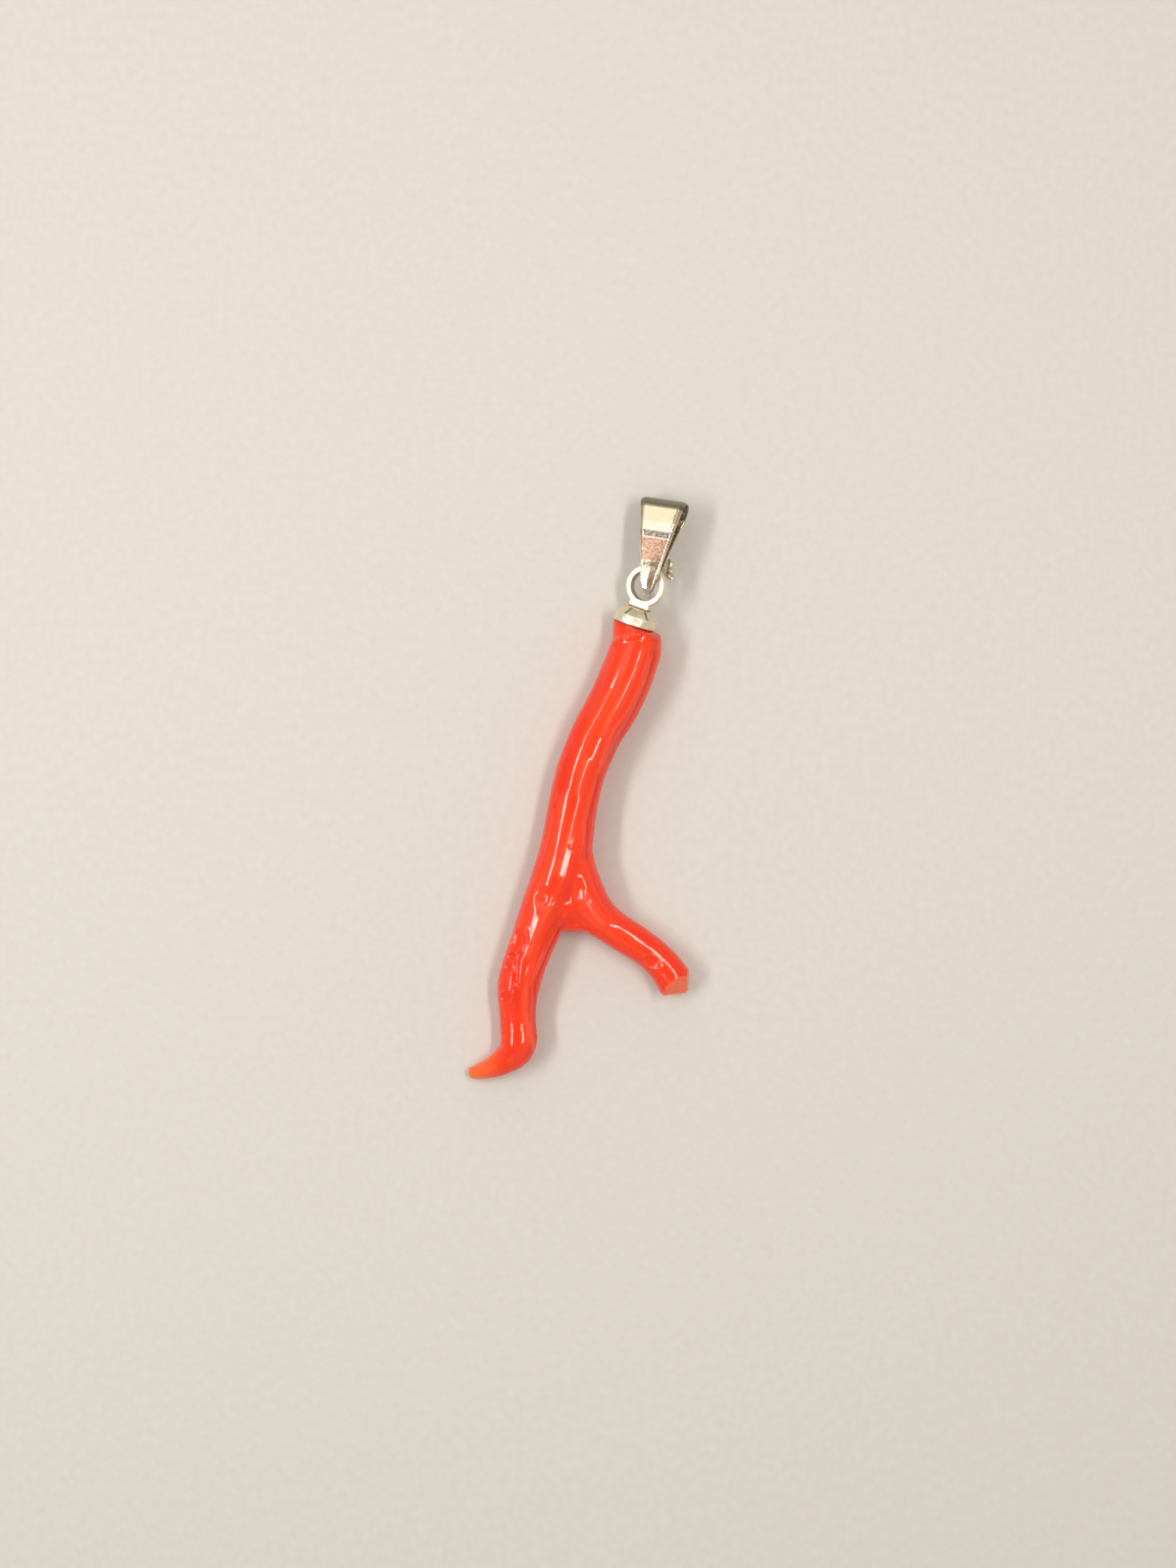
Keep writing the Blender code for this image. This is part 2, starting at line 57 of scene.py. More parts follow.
# Coral: each station is x, y, half width and height of the centreline
STEM_AND_HOOK = [
    (6.45, 18.6, 2.10, 2.80),
    (5.80, 16.8, 2.22, 2.42),
    (5.98, 15.4, 2.45, 2.45),
    (5.75, 14.0, 2.62, 2.60),
    (5.05, 12.0, 2.70, 2.70),
    (4.20, 10.0, 2.70, 2.68),
    (3.20, 8.0, 2.66, 2.64),
    (2.10, 6.2, 2.58, 2.58),
    (1.10, 4.0, 2.52, 2.52),
    (0.25, 1.8, 2.49, 2.49),
    (-0.35, -0.6, 2.48, 2.48),
    (-0.80, -3.2, 2.52, 2.52),
    (-1.25, -6.0, 2.62, 2.60),
    (-2.10, -8.9, 2.62, 2.60),
    (-3.25, -11.6, 2.42, 2.42),
    (-4.35, -14.7, 2.30, 2.28),
    (-5.30, -17.2, 2.20, 2.18),
    (-6.00, -19.6, 2.18, 2.16),
    (-6.20, -21.4, 1.98, 1.96),
    (-6.18, -23.8, 1.80, 1.80),
    (-6.09, -25.55, 1.89, 1.88),
    (-6.45, -26.7, 1.74, 1.76),
    (-7.25, -27.5, 1.48, 1.52),
    (-8.40, -28.25, 1.18, 1.24),
    (-9.60, -28.75, 0.90, 0.98),
    (-11.00, -29.12, 0.62, 0.72),
]
SIDE_LIMB = [
    (-0.95, -4.2, 1.90, 2.40),
    (-0.50, -7.6, 2.20, 2.45),
    (0.45, -10.6, 2.22, 2.30),
    (1.80, -12.7, 2.02, 2.05),
    (3.40, -14.0, 1.80, 1.82),
    (5.25, -15.2, 1.76, 1.76),
    (7.05, -16.4, 1.70, 1.70),
    (8.50, -17.7, 1.71, 1.71),
    (9.65, -19.2, 1.80, 1.80),
    (10.90, -21.4, 1.85, 1.85),
]
FORK_WEB = [
    (-2.20, -13.00, 1.30, 2.10),
    (-0.50, -13.12, 1.36, 2.10),
    (1.40, -13.05, 1.30, 2.10),
]
FORK_FILL = [  # evens out the valley above the web
    (-2.40, -11.75, 2.00, 2.38),
    (-0.60, -11.85, 1.98, 2.38),
    (1.20, -12.00, 1.90, 2.25),
]
SMOOTH_STEPS = 8  # centreline points made between two stations
LIMB_SIDES = 64
FINE_VOXEL = 0.12
SECOND_SMOOTHING = 3  # passes after the ends are cut
SHRINK_MEND = 0.05  # what the smoothing takes off the surface
TIP_ROUND = 0.30  # length of the rounded end of the hook

# Hollows without a rim: x, y, half length, half width, turn in degrees, depth, 1 front or -1 back
HOLLOWS = [
    (-3.50, -10.90, 0.95, 0.80, 60, 0.30, 1),
    (-0.20, -10.20, 1.10, 0.70, 80, 0.16, 1),
    (-0.20, -13.00, 0.90, 0.80, 0, 0.14, 1),
    (1.80, 5.20, 0.95, 0.60, 60, 0.30, -1),
    (-1.60, -4.60, 0.75, 0.60, 80, 0.30, -1),
    (-5.60, -19.00, 0.90, 0.60, 75, 0.30, -1),
    (4.60, -14.60, 0.80, 0.60, -35, 0.28, -1),
]
# Pits with a raised rim: x, y, half length, half width, turn, depth (below 0 for a bump),
# rim height, side
RIMMED_PITS = [
    (-5.80, -15.15, 1.05, 0.62, 68, 0.15, 0.11, 1),
    (-6.75, -17.00, 0.55, 0.38, 60, 0.14, 0.09, 1),
    (-7.00, -18.05, 0.60, 0.42, 75, 0.12, 0.08, 1),
    (-7.20, -21.05, 0.66, 0.55, 70, 0.13, 0.12, 1),
    (7.52, -17.42, 0.85, 0.50, -38, 0.13, 0.10, 1),
    (-2.20, -1.60, 0.42, 0.30, 80, 0.08, 0.03, 1),
    (-0.70, -5.70, 0.32, 0.22, 70, -0.07, 0.00, 1),
    (-6.20, -19.60, 0.24, 0.24, 0, 0.06, 0.03, 1),
]
# Furrows and ridges: points x, y, half width, depth (below 0 for a ridge), side
FURROWS = [
    ([(7.75, 14.0), (6.95, 11.0), (5.80, 8.2), (4.35, 5.6), (3.00, 3.0)], 0.30, 0.13, 1),
    ([(2.90, 13.2), (1.60, 9.4), (-0.70, 4.2), (-1.70, 0.2)], 0.50, 0.10, 1),
    ([(2.00, 1.4), (1.45, -1.0), (0.95, -3.2), (0.75, -6.8)], 0.22, 0.08, 1),
    ([(-6.15, -16.6), (-6.30, -19.4), (-6.20, -22.1)], 0.32, 0.17, 1),
    ([(-1.90, -13.9), (-3.05, -16.2), (-4.45, -19.6), (-4.60, -23.4), (-4.40, -26.0)], 0.16, 0.10, 1),
    ([(-2.60, -13.7), (-3.70, -16.2), (-4.95, -19.6), (-5.05, -22.6)], 0.14, 0.07, 1),
    ([(5.20, 13.0), (3.40, 8.0), (0.40, 1.5), (-1.20, -7.0)], 0.50, 0.16, -1),
    ([(6.30, 14.0), (5.70, 12.0), (4.60, 9.8), (3.90, 8.5), (3.10, 7.2), (2.60, 5.7)], 0.30, -0.05, 1),
    ([(3.10, 9.8), (2.40, 8.3), (1.60, 6.8), (0.60, 5.0)], 0.24, -0.05, 1),
    ([(7.20, 13.3), (6.40, 10.6), (5.20, 8.2), (3.60, 6.1), (2.37, 2.8)], 0.20, -0.06, 1),
    ([(2.37, 2.8), (1.70, 0.9), (1.05, -1.2), (0.60, -3.4), (0.45, -5.4)], 0.15, -0.05, 1),
    ([(0.90, 3.0), (0.30, 1.2), (-0.12, -0.3)], 0.24, -0.05, 1),
    ([(-0.31, -2.3), (-1.00, -4.9), (-1.70, -7.3), (-2.00, -8.6)], 0.26, -0.06, 1),
    ([(-2.70, -11.7), (-3.60, -13.0), (-4.40, -14.8), (-5.10, -16.6)], 0.42, -0.12, 1),
    ([(0.47, -10.2), (0.75, -11.4), (1.70, -12.7), (2.60, -13.6)], 0.24, -0.06, 1),
    ([(-3.60, -16.6), (-5.20, -20.2), (-5.15, -23.3), (-4.60, -26.3)], 0.22, -0.06, 1),
]
# Raised shoulder under the cap, and the small bumps on it: x, y, half size, height
SHOULDER = ([(3.75, 14.85), (4.60, 15.30), (5.90, 15.65), (7.00, 15.55), (8.05, 15.00)], 0.34, -0.16, 1)
SHOULDER_SPOTS = [
    (4.70, 15.25, 0.16, 0.07),
    (5.10, 15.60, 0.18, 0.08),
    (5.90, 15.72, 0.16, 0.07),
    (6.80, 15.60, 0.18, 0.08),
    (7.35, 15.32, 0.18, 0.07),
    (7.45, 14.45, 0.15, 0.06),
]
RELIEF_FADE = 3.0  # how fast the relief fades in from the outline to the front
STREAK_DEPTH = 0.022  # height of the growth streaks that run along the limbs
STREAKS_ACROSS = 0.95  # streaks to a millimetre round a limb
STREAKS_ALONG = 0.11  # the same along it
LUMP_DEPTH = 0.030  # height of the low lumps all over
LUMP_SIZE = 1.7
GRAIN_BLEND = 1.6  # how sharply the grain passes from one limb to the other
PALE_TIP_START = -7.2  # the hook's tip grows paler past this X
PALE_TIP_LENGTH = 3.4
PALE_TIP_BELOW = -25.0  # only below this Y

# Sawn and ground end of the side branch: each flat is a point on it and the way it faces
SIDE_FLATS = [
    ((9.70, -19.65, 3.40), (0.409, -0.675, 0.610)),
    ((9.50, -20.80, 1.00), (0.020, -0.995, -0.100)),
    ((11.22, -19.60, 1.80), (0.985, -0.120, 0.120)),
]
SIDE_REACH = 3.0  # the cuts touch only what lies past this X
SAWN_PALENESS = (0.60, 0.80, 1.0)  # how pale each flat is
SAWN_PAST = 7.5  # only what lies past this X and below this Y looks sawn
SAWN_BELOW = -16.0
SAW_NEAR = 0.22  # how near a cut's plane a point counts as sawn
SAWN_ROUGH = 0.05  # height of the sawn faces' unevenness
SAWN_SINK = 0.03  # how far they lie under the smoothed surface

# Cap
CAP_LEAN = 18.3
CAP_LIFT = 10.0
RIM_CENTRE = (5.684, 16.908, 2.399)
RIM_RADIUS = 2.25
RIM_BAND = 0.98
CAP_HEIGHT = 1.72
CAP_TOP_RADIUS = 1.26
CUP_RADIUS = 1.95
CUP_DEPTH = 1.25
NECK_RADIUS = 1.86  # the coral inside the cup
NECK_DEPTH = 0.55
NECK_FLARE = 4.5  # how fast the neck widens below the rim
NECK_START = 0.04  # and how far below it that begins
NECK_REACH = 2.0  # nothing further below the rim is drawn in
SHADE_START = 1.0  # the stem darkens from here below the rim
SHADE_LENGTH = 0.9
CAP_STEPS = 128
CAP_PROFILE_STEP = 0.06
FACET_HALF_ANGLE = 34.0  # the flat on the cone's front
FACET_FOOT = 1.98  # the flat's distance from the cap's axis at its foot and top
FACET_TOP = 1.05
TICK_SIZE = (0.10, 0.42)  # half width and half length of the file marks beside it
TICK_DEPTH = 0.12
TICK_DROP = 0.02  # how far their middle lies below the cone's middle
TICK_DARK = 0.12  # half width of the tarnish in them
SEAM_LIFT = 0.03  # the thin dark seam lies this far above the band
SEAM_HALF_WIDTH = 0.05

# Ring
RING_TURN = 20.0
RING_OUTER = 2.10
RING_HOLE = 1.48
RING_DEPTH = 1.10
RING_CORNER = 0.13
RING_STEPS = 96
RING_FOOT = (2.30, 0.72, 1.04)
FOOT_BEVEL = 0.12
FOOT_CLEAR = 0.01  # between the foot and the cap's top
RING_VOXEL = 0.045
RING_SMOOTHING = 5
SOLDER_REACH = 0.16  # how far the solder's tarnish goes up the foot

# Bail
BAIL_LEAN = 11.5
BAIL_DROP = 11.0
BAIL_TURN = 10.0
BAIL_LENGTH = 10.1
BAIL_TOP_WIDTH = 4.85
BAIL_TIP_WIDTH = 0.85
BAIL_FLARE = 0.8
BAIL_BACK_SHARE = 0.55
BAIL_ROLL = 2.10
BAIL_TIP_HALF_DEPTH = 0.50
BAIL_BOW = 0.33
BAIL_THICKNESS = 0.30
BAIL_WIRE_HEIGHT = 2.65
BAIL_SIDE_BEVEL = 0.22
BEVEL_START = 0.80  # share of the half width where the side bevel begins
CREASE_ANGLE = 70.0  # degrees round the roll where the front is pressed flat
FRONT_KNEES = [  # height and depth where the front's flats meet, from the tip up
    (-0.4, 0.50), (0.2, 1.11), (0.8, 1.28), (1.6, 1.44), (2.50, 1.58), (3.00, 1.70), (5.42, 1.93),
    (6.18, 2.05), (7.00, 2.08), (8.72, 1.97),
]
FRONT_TIP = -0.4  # the front leg ends this far past the back one
KNEE_ROUND = 0.12
FOLD_DEPTH = 0.10  # how far the lower front falls off beside its middle line
FOLD_HEIGHT = 6.5
TIP_LENGTH = 0.6
TAB_LOBES = [  # place, half sizes and turn in degrees
    ((1.36, 1.28, 0.00), (0.46, 0.50, 0.17), 12),
    ((1.48, 0.66, 0.00), (0.42, 0.55, 0.16), 20),
    ((1.54, 0.14, 0.00), (0.56, 0.42, 0.16), -18),
    ((1.80, -0.14, 0.00), (0.36, 0.26, 0.14), 30),
]
TAB_HEIGHT = 0.6  # above the ring's wire, where the tab takes its depth from the leg
TAB_VOXEL = 0.05
TAB_SMOOTHING = 24
TAB_SWELL = 0.02  # what the smoothing takes off
TAB_UNEVEN = 0.03
CREASE_LINE = 0.07  # half width of the dark line of painted shade along the crease
ROLL_EDGE = 0.05  # the roll's dark painted reflection begins this far below the crease
PAINTED_FADE = 0.12  # over how much height the roll's painted reflection and the bands of painted reflection fade in
# Bands of painted reflection on the front's flats: from and to which height, how strong, and the colour
PAINTED_REFLECTION_BANDS = {
    "cream": (7.00, 8.72, 0.70, "#D9C49A"),
    "blue": (5.42, 6.18, 0.90, "#4E4C5A"),
    "copper": (3.00, 5.42, 0.95, "#AE705C"),
}

# What the coral's mesh stores for its colour, painted highlight and painted shade among it: attribute, colour
# and the most of it that shows
CORAL_TINTS = [
    ("worn", "#FF7450", 0.32),
    ("deep", "#E4260A", 0.60),
    ("paleness", "#FF7A38", 0.75),
    ("sawn", "#FF8A58", 0.90),
    ("shade", "#C83208", 0.60),
]

# Stage, in metres
BOARD_SIZE = 0.6
BOARD_DROP = 0.00002  # how far the board lies under the pendant
MIDDLE_HEIGHT = 0.0025  # of the object's middle plane
CAMERA_OVER = (0.000862, 0.000433)
BOX_DISTANCE = 0.30
# Soft boxes: name, degrees from straight up sideways and forward, size, share of the power, colour
SOFT_BOXES = [
    ("right box", 22, 4, (0.026, 0.20), 1.00, (1.0, 0.97, 0.92)),
    ("left box", -39, 0, (0.034, 0.20), 1.10, (1.0, 0.98, 0.95)),
    ("far box", -22, 34, (0.14, 0.20), 0.27, (1.0, 0.96, 0.90)),
    ("low far box", -4, 69, (0.30, 0.11), 0.30, (1.0, 0.90, 0.72)),
    ("low right box", 72, 4, (0.10, 0.30), 0.14, (1.0, 0.88, 0.72)),
]
WORLD_STRENGTH = 0.63


# Settings

class CoralSettings(bpy.types.PropertyGroup):
    web_passes: bpy.props.IntProperty(
        name="Web", description="Smoothing passes that web the fork", default=50, min=0)
    relief: bpy.props.FloatProperty(
        name="Relief", description="Strength of the pits, furrows and streaks", default=1.0, min=0.0)
    colour: bpy.props.FloatVectorProperty(
        name="Coral", description="Main colour of the coral", subtype="COLOR",
        default=(0.95, 0.054, 0.012))


class SilverSettings(bpy.types.PropertyGroup):
    colour: bpy.props.FloatVectorProperty(
        name="Silver", description="Colour of the clean metal", subtype="COLOR", default=(0.90, 0.81, 0.64))
    wear: bpy.props.FloatProperty(
        name="Wear", description="Depth of the dents in the metal, in millimetres", default=0.03, min=0.0)


class StageSettings(bpy.types.PropertyGroup):
    field: bpy.props.FloatProperty(
        name="Field", description="Height of the view on the object's middle plane", default=0.16,
        subtype="DISTANCE", unit="LENGTH")
    distance: bpy.props.FloatProperty(
        name="Distance", description="Height of the camera above the middle plane", default=0.25,
        subtype="DISTANCE", unit="LENGTH")
    power: bpy.props.FloatProperty(
        name="Light", description="Power of the main soft box", default=0.35, unit="POWER")


# Places and frames

def leaning_axis(lean, lift):
    """Unit vector that leans from +Y towards +X and rises above the surface, both in degrees."""
    lean = math.radians(lean)
    lift = math.radians(lift)
    flat = math.cos(lift)
    return Vector((math.sin(lean) * flat, math.cos(lean) * flat, math.sin(lift)))


def right_of(axis, turn=0.0):
    """Level direction to the right of an axis, turned about it by degrees."""
    return Matrix.Rotation(math.radians(-turn), 3, axis) @ axis.cross(Vector((0, 0, 1))).normalized()


def placed(right, forward, up, centre):
    """Matrix whose X, Y and Z axes are the given ones and whose place is centre."""
    return Matrix.Translation(centre) @ Matrix((right, forward, up)).transposed().to_4x4()


def cap_frame():
    """Origin at the rim's centre, Z along the cap towards the ring, Y to the back."""
    axis = leaning_axis(CAP_LEAN, CAP_LIFT)
    right = right_of(axis)
    return placed(right, right.cross(axis) * -1, axis, Vector(RIM_CENTRE))


def ring_frame():
    """Origin at the ring's centre, Y along the cap's axis, Z out of the ring's front."""
    axis = leaning_axis(CAP_LEAN, CAP_LIFT)
    right = right_of(axis, RING_TURN)
    centre = Vector(RIM_CENTRE) + axis * (CAP_HEIGHT + SEAT_GAP + RING_OUTER)
    return placed(right, axis, right.cross(axis), centre)


def bail_frame():
    """Origin on the ring's wire, Y up the bail, Z out of its front."""
    along = leaning_axis(BAIL_LEAN, -BAIL_DROP)
    right = right_of(along, BAIL_TURN)
    wire = ring_frame() @ Vector((0, (RING_OUTER + RING_HOLE) / 2, 0))
    return placed(right, along, right.cross(along), wire)


def smooth_stations(stations, steps):
    """Points on a Catmull-Rom curve through the stations."""
    table = [Vector(s) for s in stations]
    table = [2 * table[0] - table[1]] + table + [2 * table[-1] - table[-2]]
    points = []
    for i in range(1, len(table) - 2):
        a, b, c, d = table[i - 1:i + 3]
        for k in range(steps):
            t = k / steps
            points.append(0.5 * (2 * b + (c - a) * t + (2 * a - 5 * b + 4 * c - d) * t * t
                                 + (3 * b - a - 3 * c + d) * t ** 3))
    points.append(table[-2])
    return points


def limb_points(stations):
    """Centreline points of a limb as x, y, z and half width."""
    return smooth_stations([(x, y, z, r) for x, y, r, z in stations], SMOOTH_STEPS)


def rounded_tip(points, length):
    """The points with a last few that narrow to a rounded end."""
    end = points[-1]
    run = (end.xyz - points[-2].xyz).normalized()
    for share in (0.4, 0.7, 0.88, 0.97):
        place = end.xyz + run * length * share
        points.append(Vector((*place, end.w * math.sqrt(1 - share * share))))
    return points


# Mesh helpers

def vertex_array(mesh, attribute):
    """The vertices' places or normals as rows of three."""
    values = np.empty(len(mesh.vertices) * 3)
    mesh.vertices.foreach_get(attribute, values)
    return values.reshape(-1, 3)


def surface(mesh):
    """The vertices' places and normals."""
    return vertex_array(mesh, "co"), vertex_array(mesh, "normal")


def transformed(places, matrix):
    matrix = np.array(matrix)
    return places @ matrix[:3, :3].T + matrix[:3, 3]


def set_places(mesh, places):
    mesh.vertices.foreach_set("co", places.ravel())
    mesh.update()


def add_attributes(mesh, **attributes):
    """Store one number or one vector for each vertex under each name."""
    for name, values in attributes.items():
        values = np.asarray(values, dtype=np.float32)
        kind, field = ("FLOAT", "value") if values.ndim == 1 else ("FLOAT_VECTOR", "vector")
        mesh.attributes.new(name, kind, "POINT").data.foreach_set(field, values.ravel())


def linked(name, data):
    """A new object in the scene."""
    item = bpy.data.objects.new(name, data)
    bpy.context.scene.collection.objects.link(item)
    return item


def plain_mesh(item):
    """The mesh of an object after its modifiers. The object is removed."""
    graph = bpy.context.evaluated_depsgraph_get()
    made = bpy.data.meshes.new_from_object(item.evaluated_get(graph))
    bpy.data.objects.remove(item)
    return made


def mesh_of(name, shape):
    """A mesh of a bmesh's shape, which is then freed."""
    mesh = bpy.data.meshes.new(name)
    shape.to_mesh(mesh)
    shape.free()
    return mesh


def modified(mesh, *changes):
    """The mesh after a list of modifiers, each a type and its settings."""
    item = linked(mesh.name, mesh)
    for kind, settings in changes:
        change = item.modifiers.new(kind, kind)
        for key, value in settings.items():
            setattr(change, key, value)
    return plain_mesh(item)


def remesh(size):
    return ("REMESH", {"mode": "VOXEL", "voxel_size": size})


def smooth(passes):
    return ("SMOOTH", {"factor": 0.5, "iterations": passes})


def joined(name, *meshes):
    """Several meshes as one."""
    shape = bmesh.new()
    for mesh in meshes:
        shape.from_mesh(mesh)
    bmesh.ops.recalc_face_normals(shape, faces=shape.faces)
    return mesh_of(name, shape)


def cut_flat(mesh, point, facing, past_x=-1000.0):
    """Cut off what lies past a plane and beyond an X, and close the cut."""
    shape = bmesh.new()
    shape.from_mesh(mesh)
    verts = [v for v in shape.verts if v.co.x > past_x]
    chosen = set(verts)
    edges = [e for e in shape.edges if chosen.issuperset(e.verts)]
    faces = [f for f in shape.faces if chosen.issuperset(f.verts)]
    cut = bmesh.ops.bisect_plane(
        shape, geom=verts + edges + faces, plane_co=point, plane_no=facing, clear_outer=True)
    rim = [e for e in cut["geom_cut"] if isinstance(e, bmesh.types.BMEdge)]
    bmesh.ops.contextual_create(shape, geom=rim)
    bmesh.ops.recalc_face_normals(shape, faces=shape.faces)
    shape.to_mesh(mesh)
    shape.free()


def tube_faces(rows, wide):
    """Quads between rows of vertices, each of which closes on itself."""
    return [(r * wide + c, r * wide + (c + 1) % wide, (r + 1) * wide + (c + 1) % wide, (r + 1) * wide + c)
            for r in range(rows - 1) for c in range(wide)]


def path_mesh(name, points, closed=False):
    """A chain of edges through points of x, y, z and thickness."""
    mesh = bpy.data.meshes.new(name)
    edges = [(i, i + 1) for i in range(len(points) - 1)]
    if closed:
        edges.append((len(points) - 1, 0))
    mesh.from_pydata([p.xyz for p in points], edges, [])
    add_attributes(mesh, thickness=[p.w for p in points])
    return mesh


def noise_field(places, seed):
    """Smooth noise between about -1 and 1 at every place."""
    offset = Vector((seed * 7.3, seed * 3.1, seed * 5.7))
    return np.array([noise.noise(Vector(p) + offset) for p in places])


def dents(places, depth, fine_share, sizes, seeds):
    """Broad dents with finer ones on them, each with its own number to a millimetre."""
    broad, fine = (noise_field(places * size, seed) for size, seed in zip(sizes, seeds))
    return depth * (broad + fine_share * fine)


def smooth_step(values):
    share = np.clip(values, 0.0, 1.0)
    return share * share * (3 - 2 * share)


def distance_to_line(places, line):
    """Shortest distance of each place in the XY plane to a chain of points."""
    best = np.full(len(places), np.inf)
    for start, end in zip(line[:-1], line[1:]):
        start = np.array(start)
        run = np.array(end) - start
        along = np.clip((places - start) @ run / (run @ run), 0, 1)
        best = np.minimum(best, np.linalg.norm(places - start - along[:, None] * run, axis=1))
    return best


# Node helpers

def set_inputs(tree, node, inputs):
    """Give each input a value or another node's socket."""
    for name, value in inputs.items():
        if isinstance(value, bpy.types.NodeSocket):
            tree.links.new(value, node.inputs[name])
        else:
            node.inputs[name].default_value = value


def add_node(tree, kind, inputs=None, **settings):
    """A node with its settings and its inputs."""
    node = tree.nodes.new(kind)
    for name, value in settings.items():
        setattr(node, name, value)
    set_inputs(tree, node, inputs or {})
    return node


def sweep_group(name, profile):
    """Node group that sweeps a round or bar-shaped profile along an edge path."""
    tree = bpy.data.node_groups.new(name, "GeometryNodeTree")
    for label, kind in (("Path", "Geometry"), ("Sides", "Int"), ("Width", "Float"), ("Height", "Float"),
                        ("Corner", "Float"), ("Material", "Material")):
        tree.interface.new_socket(name=label, in_out="INPUT", socket_type="NodeSocket" + kind)
    tree.interface.new_socket(name="Mesh", in_out="OUTPUT", socket_type="NodeSocketGeometry")
    given = tree.nodes.new("NodeGroupInput").outputs

    def made(kind, inputs, **settings):
        """The first output of a new geometry node."""
        return add_node(tree, "GeometryNode" + kind, inputs, **settings).outputs[0]

    if profile == "round":
        outline = made("CurvePrimitiveCircle", {"Resolution": given["Sides"], "Radius": 1.0})
    else:
        corners = made("CurvePrimitiveQuadrilateral", {"Width": given["Width"], "Height": given["Height"]})
        corner = {"Curve": corners, "Radius": given["Corner"], "Count": given["Sides"]}
        outline = made("FilletCurve", corner, mode="POLY")
    path = made("MeshToCurve", {"Mesh": given["Path"]})
    upright = made("SetCurveNormal", {"Curve": path}, mode="Z_UP")
    thickness = made("InputNamedAttribute", {"Name": "thickness"}, data_type="FLOAT")
    swept = made("CurveToMesh", {
        "Curve": upright, "Profile Curve": outline, "Scale": thickness, "Fill Caps": True})
    real = made("RealizeInstances", {"Geometry": swept})
    painted = made("SetMaterial", {"Geometry": real, "Material": given["Material"]})
    add_node(tree, "NodeGroupOutput", {"Mesh": painted})
    return tree


def run_group(tree, mesh, **values):
    """The plain mesh that a node group makes from a mesh."""
    item = linked(mesh.name, mesh)
    change = item.modifiers.new(tree.name, "NODES")
    change.node_group = tree
    for socket in tree.interface.items_tree:
        if socket.in_out == "INPUT" and socket.name in values:
            change[socket.identifier] = values[socket.name]
    return plain_mesh(item)


# Materials

def linear(code):
    """An sRGB hex code as linear red, green, blue and full alpha."""
    parts = [int(code[i:i + 2], 16) / 255 for i in (1, 3, 5)]
    return (*[p / 12.92 if p <= 0.04045 else ((p + 0.055) / 1.055) ** 2.4 for p in parts], 1.0)


def new_material(name):
    material = bpy.data.materials.new(name)
    material.use_nodes = True
    return material, material.node_tree, material.node_tree.nodes["Principled BSDF"]


def mix_colour(tree, factor, first, second):
    """A mix of two colours, the second of which may be an sRGB hex code."""
    second = linear(second) if isinstance(second, str) else second
    node = add_node(tree, "ShaderNodeMix", {0: factor, 6: first, 7: second}, data_type="RGBA")
    return node.outputs[2]


def map_range(tree, value, low, high, new_low, new_high):
    node = add_node(tree, "ShaderNodeMapRange", {
        "Value": value, "From Min": low, "From Max": high, "To Min": new_low, "To Max": new_high})
    return node.outputs["Result"]


def stored(tree, attribute, output="Fac"):
    """What the mesh stores in an attribute."""
    return add_node(tree, "ShaderNodeAttribute", attribute_name=attribute).outputs[output]


def scaled_noise(tree, place, scale, detail, roughness):
    """Noise over places that are first multiplied by a vector."""
    scaled = add_node(tree, "ShaderNodeVectorMath", {0: place, 1: scale}, operation="MULTIPLY")
    made = add_node(tree, "ShaderNodeTexNoise", {
        "Vector": scaled.outputs["Vector"], "Scale": 1.0, "Detail": detail, "Roughness": roughness})
    return made.outputs["Fac"]


def even_noise(tree, count, detail, roughness=0.5):
    """Noise with the same count of features to a millimetre every way."""
    place = add_node(tree, "ShaderNodeTexCoord").outputs["Object"]
    return scaled_noise(tree, place, [1000 * count] * 3, detail, roughness)


def grain_noise(tree, attribute, across, along, detail, roughness=0.55):
    """Noise drawn out along a stored grain direction."""
    grain = stored(tree, attribute, "Vector")
    return scaled_noise(tree, grain, (across, across, along), detail, roughness)


def bump(tree, height, strength, distance, over=None):
    """The normal after a bump, laid over another one where that is given."""
    node = add_node(tree, "ShaderNodeBump", {"Strength": strength, "Distance": distance, "Height": height})
    if over:
        tree.links.new(over, node.inputs["Normal"])
    return node.outputs["Normal"]


def coral_noise(tree, across, along, detail):
    """Streak noise that follows each limb and passes over from one to the other at the fork."""
    stem = grain_noise(tree, "stem_grain", across, along, detail)
    side = grain_noise(tree, "side_grain", across, along, detail)
    return add_node(tree, "ShaderNodeMix", {0: stored(tree, "side_share"), 2: stem, 3: side}).outputs[0]


def coral_material(settings):
    """Polished red coral: growth streaks along the limbs, paler at the tip and at the sawn end, with a
    painted highlight on the front's ridges and painted shade in its furrows, in its pits and under the cap's
    rim.
    """
    material, tree, shader = new_material("polished red coral")
    main = (*settings.colour, 1.0)
    broad = coral_noise(tree, 0.55, 0.05, 4)
    fine = coral_noise(tree, 3.2, 0.16, 4)
    body = mix_colour(tree, map_range(tree, broad, 0.40, 0.60, 0, 1), linear("#F03614"), main)
    body = mix_colour(tree, map_range(tree, broad, 0.56, 0.74, 0, 0.36), body, "#FC5834")
    body = mix_colour(tree, map_range(tree, fine, 0.52, 0.72, 0, 0.30), body, "#FF6A46")
    body = mix_colour(tree, map_range(tree, fine, 0.46, 0.28, 0, 0.35), body, "#E62C0C")
    for attribute, colour, most in CORAL_TINTS:
        body = mix_colour(tree, map_range(tree, stored(tree, attribute), 0, 1, 0, most), body, colour)
    speckle = even_noise(tree, 3.0, 5)
    set_inputs(tree, shader, {
        "Base Color": body, "Roughness": map_range(tree, speckle, 0.3, 0.7, 0.06, 0.17), "IOR": 1.50,
        "Subsurface Weight": 0.22, "Subsurface Radius": (1.0, 0.25, 0.12), "Subsurface Scale": 0.0006,
        "Normal": bump(tree, fine, 0.25, 0.00003)})
    return material


